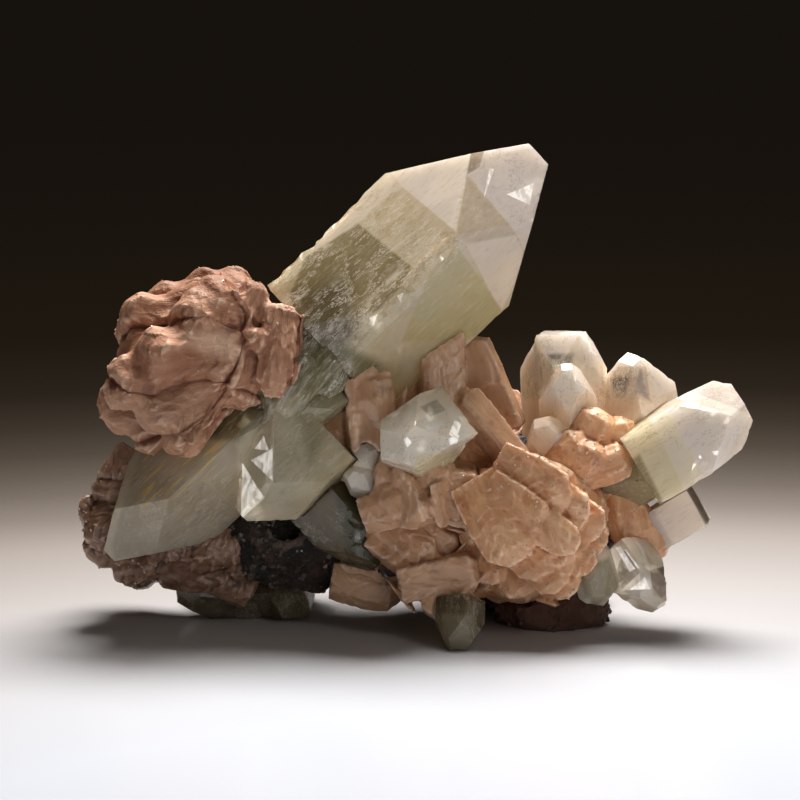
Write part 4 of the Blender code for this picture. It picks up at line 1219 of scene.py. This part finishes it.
# %% Say how each stilbite solid grew
# root across, up, toward; heading, lean in degrees; how long; how far behind the root its strands meet
SHEAVES = {
    "left_stilbite": [(-23, 17, 1, 164, 0, 20, 5), (-23, 13, 6, 171, 5, 22, 5), (-24, 9, 7, 180, 8, 20, 5),
                      (-26, 6, 5, 200, 4, 22, 5), (-27, 3, 4, 222, 0, 20, 5), (-26, 2, 6, 246, 4, 12, 5),
                      (-22, 17, 9, 262, 8, 15, 14), (-19.5, 15, 6, 270, 4, 12, 14),
                      (-27, 10, -6, 165, -30, 18, 5), (-28, 2, -6, 215, -30, 16, 5)],
    "upper_center_stilbite": [(7.6, -8, 1, 91, 0, 23, 60), (18.5, -6, -3, 113, 0, 18, 60),
                              (22.5, -13, 4, 129, -6, 18, 40), (0.5, -1, -1, 100, 0, 11.5, 30)],
    "neck_stilbite": [(-5.6, -9.5, 4, 94, 0, 15.5, 40), (-2.4, -6, -2, 80, 0, 11, 30)],
    "center_stilbite": [(-5, -14.5, 2, 352, 0, 19.5, 50), (-3, -21, 0, 338, 8, 15, 40),
                        (0, -13, 6, 300, 20, 11, 30), (4, -12, -4, 80, 0, 11, 30)],
    "right_stilbite": [(15, -12, 4, 302, 24, 22, 24)],
    "right_stilbite_lumps": [(31.5, -14, 2, 90, 10, 10, 8), (34, -13, 4, 20, 10, 10, 20),
                             (43, -16, -4, 282, 0, 13, 20), (37, -9, -9, 60, -30, 8, 6)],
    "lower_center_stilbite": [(-5, -24, 2, 331, 10, 13, 30), (0, -33, 5, 12, 6, 14.5, 40),
                              (8, -29, 4, 275, 10, 11, 30), (16, -30, 1, 274, 0, 10, 30),
                              (6, -24, 1, 10, 0, 9, 30)],
    "left_center_stilbite": [(-12, -17.5, -1, 205, 6, 12.5, 30), (-12, -18.5, -3, 296, 0, 20, 30)],
    "lower_left_stilbite": [(-32, -23, -13, 184, 0, 19.5, 6), (-48, -20, -6, 193, 0, 9.5, 30),
                            (-43.5, -20, -9, 126, 0, 12, 20), (-48, -20, -8, 228, 0, 11.5, 20)],
    "back_stilbite": [(16, -14, -20, 70, -58, 17, 6)],
    "neck_back_stilbite": [(-9, 1, -8, 118, -52, 15, 6)],
}
print("sheaves:", sum(map(len, SHEAVES.values())), "in", len(SHEAVES), "solids")

# %% Say how each stilbite solid looks
# finish; plates per square millimetre, their length, width and thickness; rounds of softening before and
# after the plates; then lumps, ridges and ledges in mm, and how far apart the ledges are
Look = namedtuple("Look", "finish density long wide thick soft melt lumps ridges ledges gap")
STILBITE_LOOK = {
    "left_stilbite": Look(brown, 0.0, 9.0, 4.5, 1.3, 16, 2, 0.4, 0.34, 0.2, 3.4),
    "upper_center_stilbite": Look(satin, 0.003, 9.0, 4.0, 0.6, 1, 2, 0.1, 0.08, 0.1, 5.0),
    "neck_stilbite": Look(satin, 0.003, 7.0, 5.0, 0.6, 1, 2, 0.15, 0.08, 0.1, 5.0),
    "center_stilbite": Look(satin, 0.006, 8.0, 6.0, 0.9, 1, 2, 0.2, 0.12, 0.2, 4.0),
    "right_stilbite": Look(bright, 0.006, 7.0, 6.0, 1.7, 8, 1, 0.4, 0.22, 0.16, 2.6),
    "right_stilbite_lumps": Look(bright, 0.006, 6.0, 5.0, 1.0, 8, 3, 0.5, 0.2, 0.12, 2.6),
    "lower_center_stilbite": Look(satin, 0.008, 7.0, 6.0, 0.9, 1, 2, 0.2, 0.12, 0.2, 4.0),
    "left_center_stilbite": Look(satin, 0.008, 7.0, 6.0, 0.9, 1, 2, 0.2, 0.12, 0.2, 4.0),
    "lower_left_stilbite": Look(shaded, 0.01, 6.0, 5.0, 1.2, 8, 2, 0.6, 0.3, 0.3, 2.5),
    "back_stilbite": Look(brown, 0.02, 9.0, 5.0, 1.4, 10, 2, 0.8, 0.3, 0.3, 6.0),
    "neck_back_stilbite": Look(brown, 0.02, 8.0, 4.5, 1.4, 10, 2, 0.8, 0.3, 0.3, 6.0),
}
# how deep the creases sink where two sheaves of one solid meet, in mm
SEAMS = {"left_stilbite": 1.3, "lower_left_stilbite": 0.6, "back_stilbite": 0.8}
print("looks:", len(STILBITE_LOOK), "of them with creases:", len(SEAMS))

# %% Say where the thick slabs lie
# middle across and up, how far out of the skin; heading, lean, roll in degrees; long, wide, thick
SLABS = {
    "right_stilbite": [
        (17.5, -12, 0.6, 335, 12, 15, 15, 9, 3.2), (25, -16, 0.8, 330, 12, 12, 15, 10, 3.2),
        (29, -19.5, 0.2, 328, 16, 10, 14, 9, 2.8), (33, -22, -0.3, 325, 18, 8, 12, 8, 2.6),
        (35, -25.5, -0.8, 322, 20, 6, 9, 7, 2.4), (22, -20.5, 0.6, 325, 10, 10, 13, 8, 2.8),
        (28, -24.5, 0.3, 325, 14, 8, 13, 7, 2.6), (32, -29, -0.4, 325, 16, 6, 11, 6.5, 2.4),
        (18.5, -23, 1.2, 300, 10, 0, 17, 11, 3.6), (23.5, -27.5, 0.5, 305, 14, 0, 14, 9, 3.0),
        (27, -31.5, -0.3, 312, 18, 0, 11, 8, 2.6), (22.5, -32.5, 0, 305, 22, 0, 10, 9, 2.6),
        (17, -29.5, 0.2, 295, 18, -10, 11, 8, 2.8), (30, -34, -0.8, 318, 24, 0, 8, 6, 2.2)],
    "right_stilbite_lumps": [
        (34.5, -6, 1.5, 60, 0, 0, 9, 8, 6), (39, -7, 0, 100, 0, 20, 8, 7, 6),
        (29.5, -10, 4, 40, 0, 0, 10, 7, 6), (37, -12, 3.5, 20, 0, 0, 10, 7, 6),
        (33, -11, 4.5, 70, 0, 0, 8, 8, 6), (40.5, -20.5, -2, 290, 0, 0, 12, 8, 6),
        (44, -24.5, -4, 300, 0, 20, 10, 8, 6)],
    "neck_stilbite": [(-10.5, -6.5, 0.5, 80, 0, 10, 11, 8, 7), (-6, 0, 1, 95, 0, -8, 10, 9, 6)],
    "center_stilbite": [
        (3.6, -14.6, 1.0, 350, 0, -12, 15, 9, 7), (-1.5, -20.5, 1.5, 20, 10, 0, 12, 8, 6),
        (9.5, -18, 1, 330, 10, 0, 10, 8, 6)],
    "lower_center_stilbite": [
        (-6, -33.5, -3, 350, 0, 10, 13, 8, 8), (0, -27, 1, 325, 8, 0, 14, 8, 6),
        (5, -24, 1, 340, 8, 12, 12, 6, 5)],
    "left_stilbite": [(-22.5, 9.0, 0.6, 260, 4, -10, 16, 8, 5), (-34, 11.5, -0.4, 347, -4, 25, 20, 5, 4)],
    "lower_left_stilbite": [
        (-53, -23, -4, 250, 0, 10, 9, 7, 6), (-50, -14.5, -5, 240, 0, 0, 12, 9, 6),
        (-45, -29, -7, 196, 0, 15, 14, 7, 7), (-38, -30.5, -8, 172, 0, -12, 13, 8, 8),
        (-31, -32, -9, 150, 0, 10, 11, 8, 8), (-27, -28.5, -8, 200, 0, -8, 12, 9, 8),
        (-36, -27, -6, 185, 0, 0, 18, 8, 8)],
}
# on these two the third value is how near the viewer the slab's middle is
PLACED = ("right_stilbite_lumps", "lower_left_stilbite")
print("slabs:", sum(map(len, SLABS.values())))

# %% Helper for the way that strands grow
SHEAVES_APART = 30  # keeps the strand pattern of two sheaves in one solid different
NO_SEAM = 9.0


def strand_fields(points, node):
    """For each point: the way its strand grows, its strand coordinates, how far along it is, and its seam."""
    rows = []
    for a, u, t, heading, lean, length, behind in SHEAVES[node]:
        way, root = np.array(pointing(heading, lean)), np.array(spot(a, u, t))
        share = np.clip((points - root) @ way, 0, length * MM)
        away = np.linalg.norm(points - root - share[:, None] * way, axis=1)
        rows.append((away, root - way * behind * MM, behind + length / 2))
    aways = np.stack([row[0] for row in rows])
    own = aways.argmin(axis=0)
    nearest = np.sort(aways, axis=0)
    seam = (nearest[1] - nearest[0]) / MM if len(rows) > 1 else np.full(len(points), NO_SEAM)
    focus = np.stack([row[1] for row in rows])[own]
    radius = np.array([row[2] for row in rows])[own]
    reach = np.linalg.norm(points - focus, axis=1)
    way = (points - focus) / np.maximum(reach, 1e-9)[:, None]
    return way, way * radius[:, None] + SHEAVES_APART * own[:, None], reach / MM, seam


print("strand helper ready")

# %% Helpers for skins and slabs
SOLID_VOXEL, SKIN_VOXEL = 0.5, 0.3  # mm


def skinned(name, mesh, voxel):
    """The mesh remeshed to one closed skin of even faces, with the voxel's size in millimetres."""
    obj = object_of(name, mesh)
    modifier = obj.modifiers.new("skin", "REMESH")
    modifier.mode = "VOXEL"
    modifier.voxel_size = voxel * MM
    made = applied(obj)
    bpy.data.objects.remove(obj)
    return made


def joined_mesh(name, meshes):
    bm = bmesh.new()
    for mesh in meshes:
        bm.from_mesh(mesh)
    return mesh_of(bm, name)


def slab(middle, axes, sizes):
    """A copy of the plate with its middle, its three directions and its three sizes in millimetres."""
    side, facing, along = axes
    wide, thick, long = sizes
    turned = Matrix((side * wide, facing * thick, along * long)).transposed() * MM
    mesh = plate.data.copy()
    mesh.transform(Matrix.Translation(middle) @ turned.to_4x4())
    return mesh


def laid_slabs(node, solid):
    """The slabs of a solid, each set on the point of its skin that the viewer sees there."""
    skin = BVHTree.FromObject(object_of("skin", solid), bpy.context.evaluated_depsgraph_get())
    meshes = []
    for a, u, out_by, heading, lean, roll, long, wide, thick in SLABS.get(node, ()):
        hit = None if node in PLACED else skin.ray_cast(spot(a, u, 60), -TOWARD)[0]
        hit, out_by = (hit, out_by) if hit else (spot(a, u, out_by), thick / 2)
        axes = [Vector(row) for row in crystal_axes(heading, lean, roll)]
        meshes.append(slab(hit + axes[1] * (out_by - thick / 2) * MM, axes, (wide, thick, long)))
    bpy.data.objects.remove(bpy.data.objects["skin"])
    return meshes


print("skin helpers ready")

# %% Helper that lays plates and slabs on a solid
LUMP_SIZE = 6 * MM
LAID_FLAT = 0.92  # how much of a strand's slope against the skin its plates give up
PLATE_RISE, PLATE_TURN, PLATE_SPACING = 0.04, 0.14, 0.4


def plated(node, look):
    """The solid with its lumps, its plates and its slabs, melted to one closed skin."""
    solid = skinned(node, mesh_of(merged_copy(node), node + "_solid"), SOLID_VOXEL)
    points = evened(solid, points_of(solid), look.soft)
    set_points(solid, points)
    normals = normals_of(solid)
    way = strand_fields(points, node)[0]
    set_points(solid, points + normals * (look.lumps * noise_at(points, LUMP_SIZE, 1, 2))[:, None] * MM)
    store(solid, "way", way - normals * (way * normals).sum(axis=1)[:, None] * LAID_FLAT)
    plates = grown(node + "_plates", solid, plates_tree, {
        "Shape": plate, "Finish": look.finish, "Density": look.density / MM ** 2,
        "Spacing": PLATE_SPACING * look.wide * MM, "Long": look.long * MM, "Wide": look.wide * MM,
        "Thick": look.thick * MM, "Rise": PLATE_RISE, "Turn": PLATE_TURN, "Seed": len(node)})
    return skinned(node, joined_mesh(node, [solid, plates] + laid_slabs(node, solid)), SKIN_VOXEL)


print("plate helper ready")

# %% Helper for ledges, ridges and creases
SEAM_WIDTH = 2.2  # mm
FIBRE_DEPTH, GRAIN_DEPTH = 0.12, 0.05  # mm


def lifted_by(points, node, look, strand, reach, seam):
    """How far each point of a skin moves out, in millimetres."""
    layer = noise_at(strand * MM, 4 * MM, 4, 2) * 1.6 + noise_at(points, 9 * MM, 2, 1) + reach / look.gap
    step = layer % 1.0
    lift = look.ledges * (np.minimum(step, (1 - step) * 6) - 0.45)
    lift += look.ridges * noise_at(strand * MM + points * 0.08, 3 * MM, 6, 3)
    bent = seam + 0.8 * noise_at(points, 3 * MM, 11, 2)
    lift -= SEAMS.get(node, 0) * np.clip(1 - bent / SEAM_WIDTH, 0, 1) ** 1.5
    fibres = min(0.4 * look.ridges, FIBRE_DEPTH)
    lift += fibres * noise_at(strand * MM + points * 0.15, 1.1 * MM, 8, 2)
    return lift + GRAIN_DEPTH * noise_at(points, 0.7 * MM, 2, 1)


print("ledge helper ready")

# %% Finish the stilbite
FULL_RELIEF = 0.18  # mm above or below the evened skin that count as a ridge or a crease


def finish_stilbite(node):
    look = STILBITE_LOOK[node]
    mesh = plated(node, look)
    points = evened(mesh, points_of(mesh), look.melt)
    set_points(mesh, points)
    normals = normals_of(mesh)
    strand, reach, seam = strand_fields(points, node)[1:]
    points = points + normals * lifted_by(points, node, look, strand, reach, seam)[:, None] * MM
    set_points(mesh, points)
    relief = ((points - evened(mesh, points, 10)) * normals).sum(axis=1) / MM
    store(mesh, "relief", relief / FULL_RELIEF)
    store(mesh, "strand", strand)
    mesh.materials.clear()
    mesh.polygons.foreach_set("use_smooth", [True] * len(mesh.polygons))
    obj = object_of(node + "_sheaf", mesh, look.finish)
    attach(obj, "root")
    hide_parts(node)
    finished[node] = obj
    return obj


for node in SHEAVES:
    print(node, len(finish_stilbite(node).data.polygons), "faces")

# %% [markdown]
# The large crystal is broken where it grew from the cluster: a rough, fractured neck runs down from it to the
# two crystals that point the other way. It is a worn block of the same mineral, pressed with fractures that
# follow the crystal's own length.

# %% Make the fractured neck
NECK_MIDDLE = spot(-15.5, 7, 4.5)
NECK_SIZE = (15, 13, 30)  # side, front to back, along, in mm
FRACTURE, CLEFT = 1.1, 0.5  # mm
NECK_GROWTH = 160  # keeps its growth lines different from those of the crystals beside it
axes = [Vector(row) for row in crystal_axes(236, 0, 12)]
mesh = skinned("neck_skin", slab(NECK_MIDDLE, axes, NECK_SIZE), SKIN_VOXEL)
points, normals = points_of(mesh), normals_of(mesh)
local = (points - np.array(NECK_MIDDLE)) @ np.array(axes).T
lift = FRACTURE * noise_at(local * (1, 1, 0.3), 3.2 * MM, 3, 4)
lift = lift - CLEFT * np.abs(noise_at(local * (1, 1, 0.2), 1.4 * MM, 7, 2))
set_points(mesh, points + normals * lift[:, None] * MM)
store(mesh, "growth", local / MM + NECK_GROWTH)
store(mesh, "depth", np.full(len(points), 0.8))
mesh.materials.clear()
neck = object_of("main_apophyllite_neck", mesh, milky)
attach(neck, "root")
print("neck faces:", len(mesh.polygons))

# %% [markdown]
# ## The basalt
#
# The basalt is a rough, dark rock with a crust of tiny crystals. The solid is remeshed finely enough to take
# broken shapes at two sizes, and dark grains are scattered on it by the grain tree. Its feet stay flat where
# they stand on the floor.

# %% Make the basalt
BROKEN_BY, PITTED_BY = 0.8, 0.25  # mm
FLAT_BELOW, FREE_ABOVE = 0.3, 1.8  # mm above the floor
ROCK_RELIEF = 0.25  # mm
mesh = skinned("basalt", mesh_of(merged_copy("basalt_matrix"), "basalt_solid"), SOLID_VOXEL)
points = evened(mesh, points_of(mesh), 1)
set_points(mesh, points)
standing = np.clip((points[:, 2] / MM - FLAT_BELOW) / (FREE_ABOVE - FLAT_BELOW), 0, 1)
lift = BROKEN_BY * noise_at(points, 4.5 * MM, 12, 4) + PITTED_BY * np.abs(noise_at(points, 1.1 * MM, 14, 2))
moved = points + normals_of(mesh) * (lift * standing)[:, None] * MM
moved[:, 2] = np.maximum(moved[:, 2], 0)
set_points(mesh, moved)
relief = ((moved - evened(mesh, moved, 8)) * normals_of(mesh)).sum(axis=1) / MM
store(mesh, "relief", relief / ROCK_RELIEF)
mesh.materials.clear()
rock = object_of("basalt_rock", mesh, basalt)
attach(rock, "root")
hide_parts("basalt_matrix")
print("basalt faces:", len(mesh.polygons))

# %% Scatter the dark crust
rock_crust = object_of("basalt_crust", grown("basalt_crust", mesh, grains_tree, {
    "Shape": grain_shape, "Finish": crust, "Density": 0.35 / MM ** 2, "Small": 0.3 * MM, "Large": 0.8 * MM,
    "Least": -0.6, "Patch": 120.0, "Cover": 0.6, "Seed": 5}))
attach(rock_crust, "root")
print("crust faces:", len(rock_crust.data.polygons))

# %% [markdown]
# ## Sugary grains
#
# Fresh edges of the stilbite glitter with clear grains. They follow the relief value, so that they sit on
# ridges and plate edges, in patches.

# %% Scatter the grains
# grains per square millimetre, and the least relief where they sit
GRAINS = {"left_stilbite": (0.35, 0.25), "right_stilbite": (0.9, 0.15), "right_stilbite_lumps": (0.9, 0.1),
          "center_stilbite": (0.3, 0.2), "upper_center_stilbite": (0.3, 0.2),
          "lower_left_stilbite": (0.5, 0.2)}
for node, (density, least) in GRAINS.items():
    mesh = grown(node + "_grains", finished[node].data, grains_tree, {
        "Shape": grain_shape, "Finish": sugar, "Density": density / MM ** 2, "Small": 0.12 * MM,
        "Large": 0.36 * MM, "Least": least, "Patch": 180.0, "Cover": 0.56, "Seed": 3})
    grains = object_of(node + "_grains", mesh)
    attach(grains, "root")
    print(node, "grains:", len(mesh.polygons) // len(grain_shape.data.polygons))
